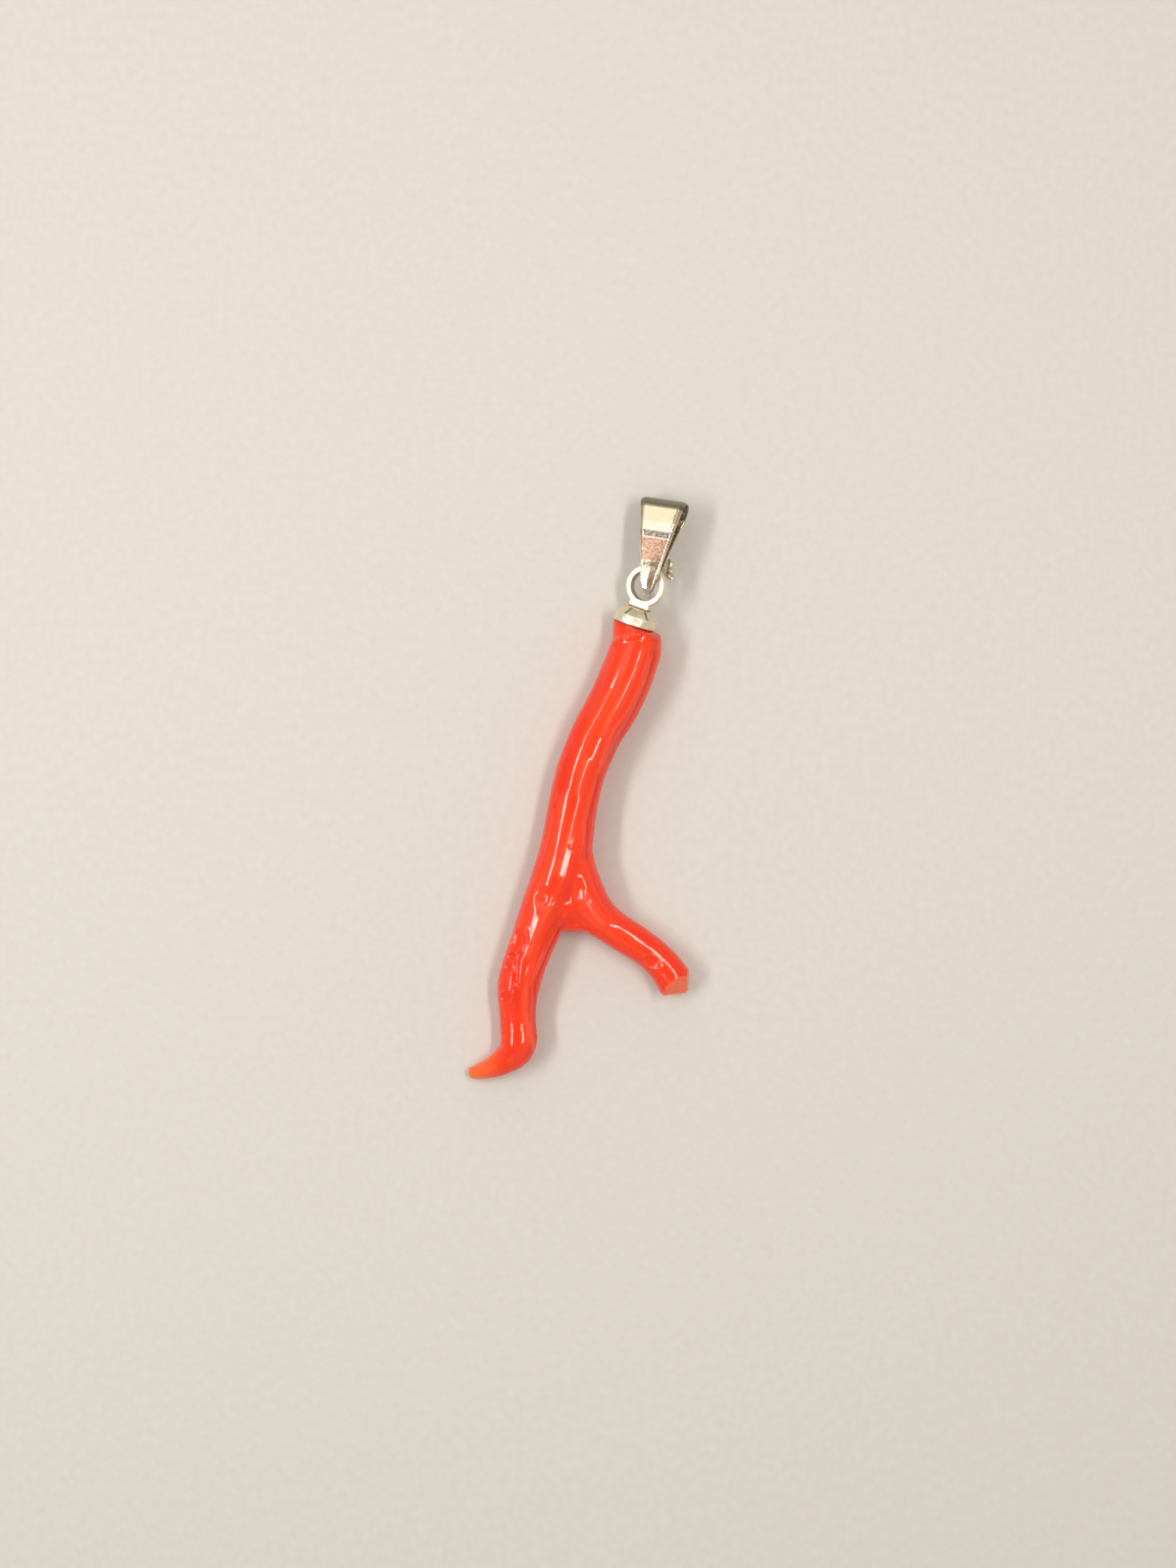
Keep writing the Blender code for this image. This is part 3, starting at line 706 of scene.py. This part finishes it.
def silver_material(settings, name, least_rough, most_rough, speckle_size):
    """Silver, darker and warmer where tarnish, darker hollows, painted shade and a dark painted reflection
    are stored, with bands of painted reflection and fine marks along its grain.
    """
    material, tree, shader = new_material(name)
    spots = even_noise(tree, 1 / speckle_size, 6, 0.65)
    marks = grain_noise(tree, "grain", 9.0, 0.5, 4, 0.7)
    clean = (*settings.colour, 1.0)
    body = mix_colour(tree, map_range(tree, spots, 0.50, 0.72, 0, 0.35), clean, "#C9B48C")
    # Darkening where stored: tarnish, darker hollows, and on the bail painted shade along the crease and a
    # dark painted reflection on the roll
    body = mix_colour(tree, stored(tree, "tarnish"), body, "#4A4234")
    uneven = map_range(tree, spots, 0.62, 0.40, 0.3, 1)
    # Bands of painted reflection, stored on the bail's front
    for painted_band, (low, high, strength, colour) in PAINTED_REFLECTION_BANDS.items():
        share = add_node(tree, "ShaderNodeMath", {0: stored(tree, painted_band), 1: uneven}, operation="MULTIPLY")
        body = mix_colour(tree, share.outputs["Value"], body, colour)
    spot_bump = bump(tree, spots, 0.35, 0.00002)
    set_inputs(tree, shader, {
        "Base Color": body, "Metallic": 1.0,
        "Roughness": map_range(tree, spots, 0.3, 0.7, least_rough, most_rough),
        "Normal": bump(tree, marks, 0.25, 0.00001, spot_bump)})
    return material


def board_material():
    """Plain pale board with a faint tooth."""
    material, tree, shader = new_material("pale matt board")
    tooth = even_noise(tree, 1.2, 6)
    set_inputs(tree, shader, {
        "Base Color": mix_colour(tree, tooth, linear("#CFCBC4"), "#D9D6D0"), "Roughness": 0.9,
        "Normal": bump(tree, tooth, 0.2, 0.00005)})
    return material


# Coral

def along_limb(places, points):
    """Grain coordinates of each place beside a limb, and how many half widths off its line it lies."""
    best = np.full(len(places), np.inf)
    grain = np.zeros((len(places), 3))
    ratio = np.full(len(places), np.inf)
    travelled = 0.0
    for a, b in zip(points[:-1], points[1:]):
        start = np.array(a.xyz)
        run = np.array(b.xyz) - start
        length = np.linalg.norm(run)
        tangent = run / length
        across = np.cross(tangent, (0, 0, 1))
        across /= np.linalg.norm(across)
        up = np.cross(across, tangent)
        share = np.clip((places - start) @ run / (run @ run), 0, 1)
        offset = places - start - share[:, None] * run
        distance = np.linalg.norm(offset, axis=1)
        near = distance < best
        best[near] = distance[near]
        grain[near, 0] = offset[near] @ across
        grain[near, 1] = offset[near] @ up
        grain[near, 2] = travelled + share[near] * length
        ratio[near] = distance[near] / (a.w + (b.w - a.w) * share[near])
        travelled += length
    return grain, ratio


def oval_distance(places, x, y, half_length, half_width, turn):
    """Distance from an oval's centre, 1 on its outline, in the XY plane."""
    turn = math.radians(turn)
    dx = places[:, 0] - x
    dy = places[:, 1] - y
    along = (dx * math.cos(turn) + dy * math.sin(turn)) / half_length
    across = (dy * math.cos(turn) - dx * math.sin(turn)) / half_width
    return np.hypot(along, across)


def relief_depth(places, facing):
    """How far each point sinks from the hollows, pits, furrows, ridges and shoulder."""
    depth = np.zeros(len(places))
    uneven = noise_field(places * 1.3, 11)
    shown = {side: np.clip(side * facing * RELIEF_FADE, 0, 1) for side in (1, -1)}
    for *oval, sink, side in HOLLOWS:
        out = oval_distance(places, *oval)
        depth += sink * shown[side] * np.exp(-out ** 3)
    for *oval, sink, rim, side in RIMMED_PITS:
        out = oval_distance(places, *oval) * (1 + 0.16 * uneven)
        depth += shown[side] * (sink * np.exp(-(out / 0.92) ** 6) - rim * np.exp(-((out - 1.10) / 0.15) ** 2))
    for line, half_width, sink, side in FURROWS + [SHOULDER]:
        near = distance_to_line(places[:, :2], line) / half_width
        depth += sink * shown[side] * np.exp(-near ** 2)
    for x, y, half_size, height in SHOULDER_SPOTS:
        out = np.hypot(places[:, 0] - x, places[:, 1] - y) / half_size
        depth -= height * shown[1] * np.exp(-out ** 2)
    return depth


def relief_sheen_and_shade(places, facing):
    """Above 0 on the front's ridges, for a painted highlight, and below 0 in its furrows and pits, for
    painted shade.
    """
    sheen_and_shade = np.zeros(len(places))
    for line, half_width, sink, side in FURROWS:
        if side == 1:
            near = distance_to_line(places[:, :2], line) / half_width
            sheen_and_shade -= np.sign(sink) * np.exp(-near ** 2)
    for *oval, sink, rim, side in RIMMED_PITS:
        sheen_and_shade -= 0.5 * np.exp(-oval_distance(places, *oval) ** 4)
    return np.clip(sheen_and_shade, -1, 1) * np.clip(facing * RELIEF_FADE, 0, 1)


def narrow_neck(places):
    """Draw the stem's end in to clear the rim. Gives the places and their heights above the rim."""
    local = transformed(places, cap_frame().inverted())
    radius = np.hypot(local[:, 0], local[:, 1])
    below = np.maximum(-local[:, 2] - NECK_START, 0.0)
    widest = NECK_RADIUS + NECK_FLARE * below * (1 + below)
    near = local[:, 2] > -NECK_REACH
    share = np.where(near & (radius > widest), widest / np.maximum(radius, 1e-6), 1.0)
    local[:, :2] *= share[:, None]
    return transformed(local, cap_frame()), local[:, 2]


def sawn_share(places):
    """1 on the side branch's cut faces, falling to 0 away from them."""
    share = np.zeros(len(places))
    for (point, facing), paleness in zip(SIDE_FLATS, SAWN_PALENESS):
        below = (np.array(point) - places) @ np.array(facing)
        share = np.maximum(share, paleness * smooth_step(1 - below / SAW_NEAR))
    return share * (places[:, 0] > SAWN_PAST) * (places[:, 1] < SAWN_BELOW)


def shape_coral(mesh, relief):
    """Carve the fine relief and store what the material needs."""
    places, normals = surface(mesh)
    stem, stem_ratio = along_limb(places, limb_points(STEM_AND_HOOK))
    side, side_ratio = along_limb(places, limb_points(SIDE_LIMB))
    share = smooth_step((stem_ratio - side_ratio) * GRAIN_BLEND + 0.5)
    streaks = [noise_field(g * (STREAKS_ACROSS, STREAKS_ACROSS, STREAKS_ALONG), 1) for g in (stem, side)]
    streaks = streaks[0] * (1 - share) + streaks[1] * share
    sawn = sawn_share(places)
    polished = 1 - sawn
    moved = SHRINK_MEND - relief * relief_depth(places, normals[:, 2]) * polished
    moved += relief * STREAK_DEPTH * streaks * polished
    moved += relief * LUMP_DEPTH * noise_field(places / LUMP_SIZE, 2)
    moved += relief * sawn * (dents(places, SAWN_ROUGH, 0.4, (2.6, 7.0), (3, 12)) - SAWN_SINK)
    places = places + normals * moved[:, None]
    places, above_rim = narrow_neck(places)
    places[:, 2] = np.maximum(places[:, 2], 0.0)
    set_places(mesh, places)
    tip = smooth_step((PALE_TIP_START - places[:, 0]) / PALE_TIP_LENGTH) * (places[:, 1] < PALE_TIP_BELOW)
    # The colour's painted highlight on the ridges and painted shade in the furrows and pits, and painted
    # shade under the cap's rim
    sheen_and_shade = relief_sheen_and_shade(places, normals[:, 2]) * polished
    add_attributes(mesh, stem_grain=stem, side_grain=side, side_share=share, paleness=tip, sawn=sawn,
                   worn=np.clip(sheen_and_shade, 0, 1), deep=np.clip(-sheen_and_shade, 0, 1),
                   shade=smooth_step((above_rim + SHADE_START) / SHADE_LENGTH))


def make_limb(name, stations, tip=0.0):
    """A tapering tube along the smoothed stations."""
    points = limb_points(stations)
    if tip:
        points = rounded_tip(points, tip)
    return run_group(sweep_group(name + " sweep", "round"), path_mesh(name, points), Sides=LIMB_SIDES)


def grow_coral(settings):
    """The whole branch as one fine mesh in millimetres."""
    limbs = joined("coral", make_limb("stem and hook", STEM_AND_HOOK, TIP_ROUND),
                   make_limb("side", SIDE_LIMB), make_limb("web", FORK_WEB), make_limb("fill", FORK_FILL))
    branch = modified(limbs, remesh(FINE_VOXEL), smooth(settings.web_passes))
    axis = leaning_axis(CAP_LEAN, CAP_LIFT)
    cut_flat(branch, Vector(RIM_CENTRE) + axis * NECK_DEPTH, axis)
    for point, facing in SIDE_FLATS:
        cut_flat(branch, point, facing, past_x=SIDE_REACH)
    branch = modified(branch, remesh(FINE_VOXEL), smooth(SECOND_SMOOTHING))
    shape_coral(branch, settings.relief)
    return branch


# Metal

def cap_profile():
    """Radius and height of the cap's outline, from the top's middle round to the cup's middle."""
    return [
        (0.0, CAP_HEIGHT), (CAP_TOP_RADIUS - 0.10, CAP_HEIGHT), (CAP_TOP_RADIUS - 0.03, CAP_HEIGHT - 0.02),
        (CAP_TOP_RADIUS, CAP_HEIGHT - 0.08), (1.62, 1.40), (1.95, 1.15),
        (RIM_RADIUS - 0.13, RIM_BAND + 0.06), (RIM_RADIUS - 0.09, RIM_BAND + 0.01),
        (RIM_RADIUS - 0.02, RIM_BAND - 0.03), (RIM_RADIUS, RIM_BAND - 0.10),
        (RIM_RADIUS, 0.10), (RIM_RADIUS - 0.03, 0.03), (RIM_RADIUS - 0.10, 0.0),
        (CUP_RADIUS + 0.03, 0.0), (CUP_RADIUS, 0.03), (CUP_RADIUS, 0.80), (CAP_TOP_RADIUS, CUP_DEPTH),
        (0.0, CUP_DEPTH),
    ]


def dense_profile(profile, step):
    """The outline with extra points so that none lie further apart than step."""
    dense = []
    for (r0, h0), (r1, h1) in zip(profile[:-1], profile[1:]):
        count = max(1, math.ceil(math.hypot(r1 - r0, h1 - h0) / step))
        dense += [(r0 + (r1 - r0) * i / count, h0 + (h1 - h0) * i / count) for i in range(count)]
    return dense + [profile[-1]]


def turn_cap(settings):
    """The lathe-turned cap with its filed front facet, file marks and dents."""
    profile = dense_profile(cap_profile(), CAP_PROFILE_STEP)
    turns = np.linspace(0, math.tau, CAP_STEPS, endpoint=False)
    verts = [(r * math.cos(a), r * math.sin(a), h) for r, h in profile for a in turns]
    lathe = bpy.data.meshes.new("lathe")
    lathe.from_pydata(verts, [], tube_faces(len(profile), CAP_STEPS))
    shape = bmesh.new()
    shape.from_mesh(lathe)
    bmesh.ops.remove_doubles(shape, verts=shape.verts, dist=1e-4)
    bmesh.ops.recalc_face_normals(shape, faces=shape.faces)
    mesh = mesh_of("cap", shape)
    wear_cap(mesh, settings.wear)
    return mesh


def wear_cap(mesh, wear):
    """File the facet and its two ticks, dent the outside and store grain, a darker inside of the cup, and
    tarnish at the seam and in the ticks.
    """
    places, normals = surface(mesh)
    radius = np.hypot(places[:, 0], places[:, 1])
    height = places[:, 2]
    angle = np.degrees(np.arctan2(places[:, 0], -places[:, 1]))
    outside = (normals[:, 2] > -0.5) & (radius > CAP_TOP_RADIUS - 0.05) & (height > 0.01)
    cone = outside & (height > RIM_BAND)
    climb = np.clip((height - RIM_BAND) / (CAP_HEIGHT - RIM_BAND), 0, 1)
    flat = FACET_FOOT + (FACET_TOP - FACET_FOOT) * climb
    front = cone & (-places[:, 1] > flat) & (abs(angle) < FACET_HALF_ANGLE)
    places[front, 1] = -flat[front]
    from_ticks = [np.radians(angle - side * FACET_HALF_ANGLE) * radius for side in (1, -1)]
    along = (height - (RIM_BAND + CAP_HEIGHT) / 2 + TICK_DROP) / TICK_SIZE[1]
    for away in from_ticks:
        tick = TICK_DEPTH * np.exp(-(away / TICK_SIZE[0]) ** 2 - along ** 6) * cone
        places -= normals * tick[:, None]
    places += normals * (dents(places, wear, 0.4, (2.2, 6.0), (4, 5)) * outside)[:, None]
    set_places(mesh, places)
    grain = np.stack([height, radius, np.radians(angle) * radius], axis=1)
    outward = (places[:, :2] * normals[:, :2]).sum(axis=1) / np.maximum(radius, 1e-6)
    inside = (outward < -0.3) | ((normals[:, 2] < -0.5) & (height > 0.1))
    seam = np.exp(-((height - RIM_BAND - SEAM_LIFT) / SEAM_HALF_WIDTH) ** 2) * outside
    ticks = sum(np.exp(-(away / TICK_DARK) ** 2) for away in from_ticks)
    tarnish = np.clip(0.9 * inside + 0.06 * seam + 0.95 * ticks * cone, 0, 1)
    add_attributes(mesh, grain=grain, tarnish=tarnish)


def bend_ring(settings):
    """The flat ring with its soldered foot, as one mesh in its own frame."""
    middle = (RING_OUTER + RING_HOLE) / 2
    points = [Vector((middle * math.cos(a), middle * math.sin(a), 0, 1.0))
              for a in np.linspace(0, math.tau, RING_STEPS, endpoint=False)]
    hoop = run_group(sweep_group("ring sweep", "bar"), path_mesh("ring", points, closed=True),
                     Sides=4, Width=RING_OUTER - RING_HOLE, Height=RING_DEPTH, Corner=RING_CORNER)
    shape = bmesh.new()
    width, height, depth = RING_FOOT
    low = -RING_OUTER - SEAT_GAP + FOOT_CLEAR
    place = Matrix.Translation((0, low + height / 2, 0)) @ Matrix.Diagonal((width, height, depth, 1))
    bmesh.ops.create_cube(shape, size=1, matrix=place)
    bmesh.ops.bevel(shape, geom=shape.edges[:], offset=FOOT_BEVEL, segments=3, affect="EDGES", profile=0.5)
    ring = modified(joined("ring", hoop, mesh_of("foot", shape)), remesh(RING_VOXEL), smooth(RING_SMOOTHING))
    wear_ring(ring, settings.wear)
    return ring


def wear_ring(mesh, wear):
    """Uneven filing, a darker hole, and tarnish at the solder."""
    places, normals = surface(mesh)
    places = places + normals * dents(places, wear, 0.4, (1.6, 5.5), (6, 7))[:, None]
    set_places(mesh, places)
    radius = np.hypot(places[:, 0], places[:, 1])
    angle = np.arctan2(places[:, 1], places[:, 0])
    outward = (places[:, :2] * normals[:, :2]).sum(axis=1) / np.maximum(radius, 1e-6)
    hole = smooth_step(-outward * 1.6 - 0.3)
    solder = np.exp(-((places[:, 1] + RING_OUTER + SEAT_GAP) / SOLDER_REACH) ** 2)
    grain = np.stack([radius, places[:, 2], angle * radius], axis=1)
    add_attributes(mesh, grain=grain, tarnish=np.clip(0.45 * hole + 0.8 * solder, 0, 1))


def bail_half_depth(height):
    """Half of the bail's depth, front to back, at a height above the tip."""
    share = min(max(height / (BAIL_LENGTH - BAIL_ROLL), 0.0), 1.0)
    return BAIL_TIP_HALF_DEPTH + (BAIL_ROLL - BAIL_TIP_HALF_DEPTH) * share ** BAIL_BOW


def bail_width(height, depth):
    """Width of the strip at a height, less on the back leg."""
    share = min(max(height / BAIL_LENGTH, 0.0), 1.0)
    front = BAIL_TIP_WIDTH + (BAIL_TOP_WIDTH - BAIL_TIP_WIDTH) * share ** BAIL_FLARE
    return front if depth > 0 else front * (BAIL_BACK_SHARE + (1 - BAIL_BACK_SHARE) * share)


def roll_point(angle):
    """Height and depth on the roll, at degrees from straight up its length towards the front."""
    radians = math.radians(angle)
    return (BAIL_LENGTH - BAIL_ROLL + BAIL_ROLL * math.cos(radians), BAIL_ROLL * math.sin(radians))


def front_half_depth(height):
    """Depth of the front leg's outer face, pressed in flats that meet in soft knees."""
    heights, depths = zip(*FRONT_KNEES)
    near = [height + KNEE_ROUND * step for step in (-1, -0.5, 0, 0.5, 1)]
    return float(np.mean(np.interp(near, heights, depths)))


def bail_path(leg_points, roll_points):
    """Height and depth of the outer face, from the back tip over the top to the front tip."""
    roll_height = BAIL_LENGTH - BAIL_ROLL
    crease_height = roll_point(CREASE_ANGLE)[0]
    back = [roll_height * (i / leg_points) ** 2 for i in range(leg_points)]
    path = [(h, -bail_half_depth(h)) for h in back]
    path += [roll_point(-90 + (90 + CREASE_ANGLE) * i / roll_points) for i in range(roll_points)]
    front_length = crease_height - FRONT_TIP
    front = [crease_height - front_length * (i / leg_points) ** 1.3 for i in range(leg_points + 1)]
    path += [(h, front_half_depth(h)) for h in front]
    return path


def path_normals(path):
    """Outward direction at each station of the path."""
    places = np.array(path)
    runs = np.gradient(places, axis=0)
    runs /= np.linalg.norm(runs, axis=1)[:, None]
    return np.stack([runs[:, 1], -runs[:, 0]], axis=1)


def section_points():
    """Share of the half width and depth below the outer face, once round the strip."""
    flat = [(BEVEL_START * i / 8, 0.0) for i in range(9)]
    groove = [(BEVEL_START + 0.015, 0.035), (BEVEL_START + 0.03, 0.0)]
    bevel = [(0.88, 0.06), (0.94, 0.13), (0.985, BAIL_SIDE_BEVEL - 0.03), (1.0, BAIL_SIDE_BEVEL + 0.01),
             (0.985, BAIL_THICKNESS - 0.02), (0.95, BAIL_THICKNESS)]
    right = flat + groove + bevel + [(0.7, BAIL_THICKNESS), (0.35, BAIL_THICKNESS)]
    left = [(-share, sunk) for share, sunk in reversed(right[1:])]
    return right + [(0.0, BAIL_THICKNESS)] + left


def tip_share(height, depth):
    """How much of its width the strip keeps beside its rounded tip."""
    tip = FRONT_TIP if depth > 0 else 0.0
    share = min(max((height - tip) / TIP_LENGTH, 0.0), 1.0)
    return max(0.3, math.sqrt(1 - (1 - share) ** 2))


def fold_bail(settings):
    """The tapered strip folded over, with bevelled sides, pressed flats and a bent tab."""
    path = bail_path(leg_points=90, roll_points=60)
    section = section_points()
    verts = []
    for (height, depth), (up, out) in zip(path, path_normals(path)):
        low = 1 - smooth_step(height / FOLD_HEIGHT) if depth > 0 else 0.0
        half = bail_width(height, depth) / 2 * tip_share(height, depth)
        for share, sunk in section:
            sunk += FOLD_DEPTH * low * abs(share) * (sunk < BAIL_SIDE_BEVEL)
            verts.append((share * half, height - up * sunk - BAIL_WIRE_HEIGHT, depth - out * sunk))
    wide = len(section)
    faces = tube_faces(len(path), wide)
    faces += [tuple(range(wide)), tuple(range(len(verts) - wide, len(verts)))]
    mesh = bpy.data.meshes.new("bail")
    mesh.from_pydata(verts, [], faces)
    mesh.update()
    sheet = modified(joined("bail", mesh), ("SUBSURF", {"levels": 1, "render_levels": 1}))
    whole = joined("bail", sheet, bend_tab())
    wear_bail(whole, settings.wear / 3)
    return whole


def bend_tab():
    """The irregular tab that is bent out of the back leg's right edge."""
    shape = bmesh.new()
    depth = BAIL_THICKNESS / 2 - bail_half_depth(BAIL_WIRE_HEIGHT + TAB_HEIGHT)
    for (x, y, z), half_sizes, turn in TAB_LOBES:
        place = (Matrix.Translation((x, y, z + depth)) @ Matrix.Rotation(math.radians(turn), 4, "Z")
                 @ Matrix.Diagonal((*half_sizes, 1)))
        bmesh.ops.create_icosphere(shape, subdivisions=3, radius=1, matrix=place)
    mesh = modified(mesh_of("tab", shape), remesh(TAB_VOXEL), smooth(TAB_SMOOTHING))
    places, normals = surface(mesh)
    set_places(mesh, places + normals * (TAB_SWELL + TAB_UNEVEN * noise_field(places * 2.2, 8))[:, None])
    return mesh


def wear_bail(mesh, wear):
    """Light dents, darker inner faces in the fold, a dark painted reflection on the roll, painted shade along
    the crease, and the front's bands of painted reflection.
    """
    places, normals = surface(mesh)
    places = places + normals * dents(places, wear, 0.6, (2.4, 6.5), (9, 10))[:, None]
    set_places(mesh, places)
    inward = -np.sign(places[:, 2]) * normals[:, 2]
    height = places[:, 1] + BAIL_WIRE_HEIGHT
    crease = roll_point(CREASE_ANGLE)[0]
    # A dark painted reflection on the roll and painted shade along the crease; the fold's inner faces are
    # darker
    roll = smooth_step((height - crease + ROLL_EDGE) / PAINTED_FADE)
    line = np.exp(-((height - crease) / CREASE_LINE) ** 2) * (places[:, 2] > 0)
    tarnish = np.max([0.12 * smooth_step(inward * 1.5), 0.76 * roll, 0.85 * line], axis=0)
    add_attributes(mesh, grain=places[:, [0, 2, 1]], tarnish=tarnish)
    # Bands of painted reflection on the front's flats
    front = (places[:, 2] > 0) * smooth_step(normals[:, 2] * 4 - 2.6)
    for painted_band, (low, high, strength, colour) in PAINTED_REFLECTION_BANDS.items():
        band = smooth_step((height - low) / PAINTED_FADE) * smooth_step((high - height) / PAINTED_FADE)
        add_attributes(mesh, **{painted_band: strength * band * front})


def finish_piece(name, mesh, place, material, body, nodes):
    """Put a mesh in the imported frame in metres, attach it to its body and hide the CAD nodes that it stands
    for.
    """
    mesh.transform(Matrix.Scale(0.001, 4) @ Matrix.Translation(FRAME_SHIFT) @ place)
    mesh.name = name
    mesh.materials.clear()
    mesh.materials.append(material)
    mesh.shade_smooth()
    piece = linked(name, mesh)
    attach(piece, body)
    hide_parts(*nodes)


# Stage

def add_soft_box(name, sideways, forward, size, power, colour):
    """An area light at angles from straight up, in degrees, that faces the object."""
    light = bpy.data.lights.new(name, "AREA")
    light.shape = "RECTANGLE"
    light.size, light.size_y = size
    light.energy = power
    light.color = colour
    aim = Vector((math.tan(math.radians(sideways)), math.tan(math.radians(forward)), 1)).normalized()
    right = Vector((0, 1, 0)).cross(aim).normalized()
    linked(name, light).matrix_world = placed(right, aim.cross(right), aim, aim * BOX_DISTANCE)


def make_world():
    """Soft room light all round, with a darker warm patch overhead for the metal to reflect."""
    world = bpy.data.worlds.new("soft studio")
    world.use_nodes = True
    tree = world.node_tree
    place = add_node(tree, "ShaderNodeTexCoord")
    parts = add_node(tree, "ShaderNodeSeparateXYZ", {0: place.outputs["Generated"]})
    overhead = map_range(tree, parts.outputs["Z"], 0.90, 0.97, 0, 1)
    colour = mix_colour(tree, overhead, linear("#D2CFCB"), "#B49484")
    set_inputs(tree, tree.nodes["Background"], {"Color": colour, "Strength": WORLD_STRENGTH})
    bpy.context.scene.world = world


def make_floor():
    """A pale board under the pendant."""
    shape = bmesh.new()
    bmesh.ops.create_grid(shape, x_segments=1, y_segments=1, size=BOARD_SIZE)
    mesh = mesh_of("board", shape)
    mesh.materials.append(board_material())
    board = linked("board", mesh)
    board.location.z = -BOARD_DROP


def make_camera(settings):
    """Camera straight above, framed as in the photograph."""
    data = bpy.data.cameras.new("camera")
    data.lens = data.sensor_width * settings.distance / settings.field
    data.clip_start = 0.005
    data.clip_end = 5.0
    camera = linked("camera", data)
    camera.location = (*CAMERA_OVER, settings.distance + MIDDLE_HEIGHT)
    bpy.context.scene.camera = camera


# Operators

class CORAL_OT_grow(bpy.types.Operator):
    """Grow the polished coral branch"""
    bl_idname = "coral_pendant.grow_coral"
    bl_label = "Grow coral"

    def execute(self, context):
        settings = context.scene.pendant_coral
        finish_piece("coral", grow_coral(settings), Matrix.Identity(4), coral_material(settings), "pendant",
                     ("coral_stem", "coral_hooked_branch", "coral_side_branch"))
        return {"FINISHED"}


class CORAL_OT_cap_and_ring(bpy.types.Operator):
    """Turn the cap and bend the ring that is soldered on it"""
    bl_idname = "coral_pendant.make_cap_and_ring"
    bl_label = "Make cap and ring"

    def execute(self, context):
        settings = context.scene.pendant_silver
        silver = silver_material(settings, "satin silver", 0.36, 0.55, 0.16)
        finish_piece("silver_cap", turn_cap(settings), cap_frame(), silver, "pendant", ("cap",))
        finish_piece("silver_ring", bend_ring(settings), ring_frame(), silver, "pendant", ("ring",))
        return {"FINISHED"}


class CORAL_OT_bail(bpy.types.Operator):
    """Fold the bail that swings on the ring"""
    bl_idname = "coral_pendant.fold_bail"
    bl_label = "Fold bail"

    def execute(self, context):
        settings = context.scene.pendant_silver
        silver = silver_material(settings, "polished silver", 0.08, 0.26, 0.22)
        finish_piece("silver_bail", fold_bail(settings), bail_frame(), silver, "bail", ("bail",))
        return {"FINISHED"}


class CORAL_OT_stage(bpy.types.Operator):
    """Set the board, the soft light and the camera"""
    bl_idname = "coral_pendant.set_stage"
    bl_label = "Set stage"

    def execute(self, context):
        settings = context.scene.pendant_stage
        make_world()
        make_floor()
        for name, sideways, forward, size, share, colour in SOFT_BOXES:
            add_soft_box(name, sideways, forward, size, settings.power * share, colour)
        make_camera(settings)
        context.scene.view_settings.view_transform = "Standard"
        context.scene.view_settings.look = "None"
        return {"FINISHED"}


class CORAL_PT_panel(bpy.types.Panel):
    bl_label = "Coral pendant"
    bl_space_type = "VIEW_3D"
    bl_region_type = "UI"
    bl_category = "Coral pendant"

    def draw(self, context):
        for label, group, operators in (
                ("Coral", context.scene.pendant_coral, (CORAL_OT_grow,)),
                ("Silver", context.scene.pendant_silver, (CORAL_OT_cap_and_ring, CORAL_OT_bail)),
                ("Stage", context.scene.pendant_stage, (CORAL_OT_stage,))):
            box = self.layout.box()
            box.label(text=label)
            for name in group.__annotations__:
                box.prop(group, name)
            for operator in operators:
                box.operator(operator.bl_idname)


GROUPS = {"pendant_coral": CoralSettings, "pendant_silver": SilverSettings, "pendant_stage": StageSettings}
CLASSES = (*GROUPS.values(), CORAL_OT_grow, CORAL_OT_cap_and_ring, CORAL_OT_bail, CORAL_OT_stage,
           CORAL_PT_panel)


def register():
    for item in CLASSES:
        bpy.utils.register_class(item)
    for name, group in GROUPS.items():
        setattr(bpy.types.Scene, name, bpy.props.PointerProperty(type=group))


def unregister():
    for name in GROUPS:
        delattr(bpy.types.Scene, name)
    for item in reversed(CLASSES):
        bpy.utils.unregister_class(item)


def main():
    register()
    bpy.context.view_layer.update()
    bpy.ops.coral_pendant.grow_coral()
    bpy.ops.coral_pendant.make_cap_and_ring()
    bpy.ops.coral_pendant.fold_bail()
    bpy.ops.coral_pendant.set_stage()
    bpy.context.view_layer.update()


if __name__ == "__main__":
    main()
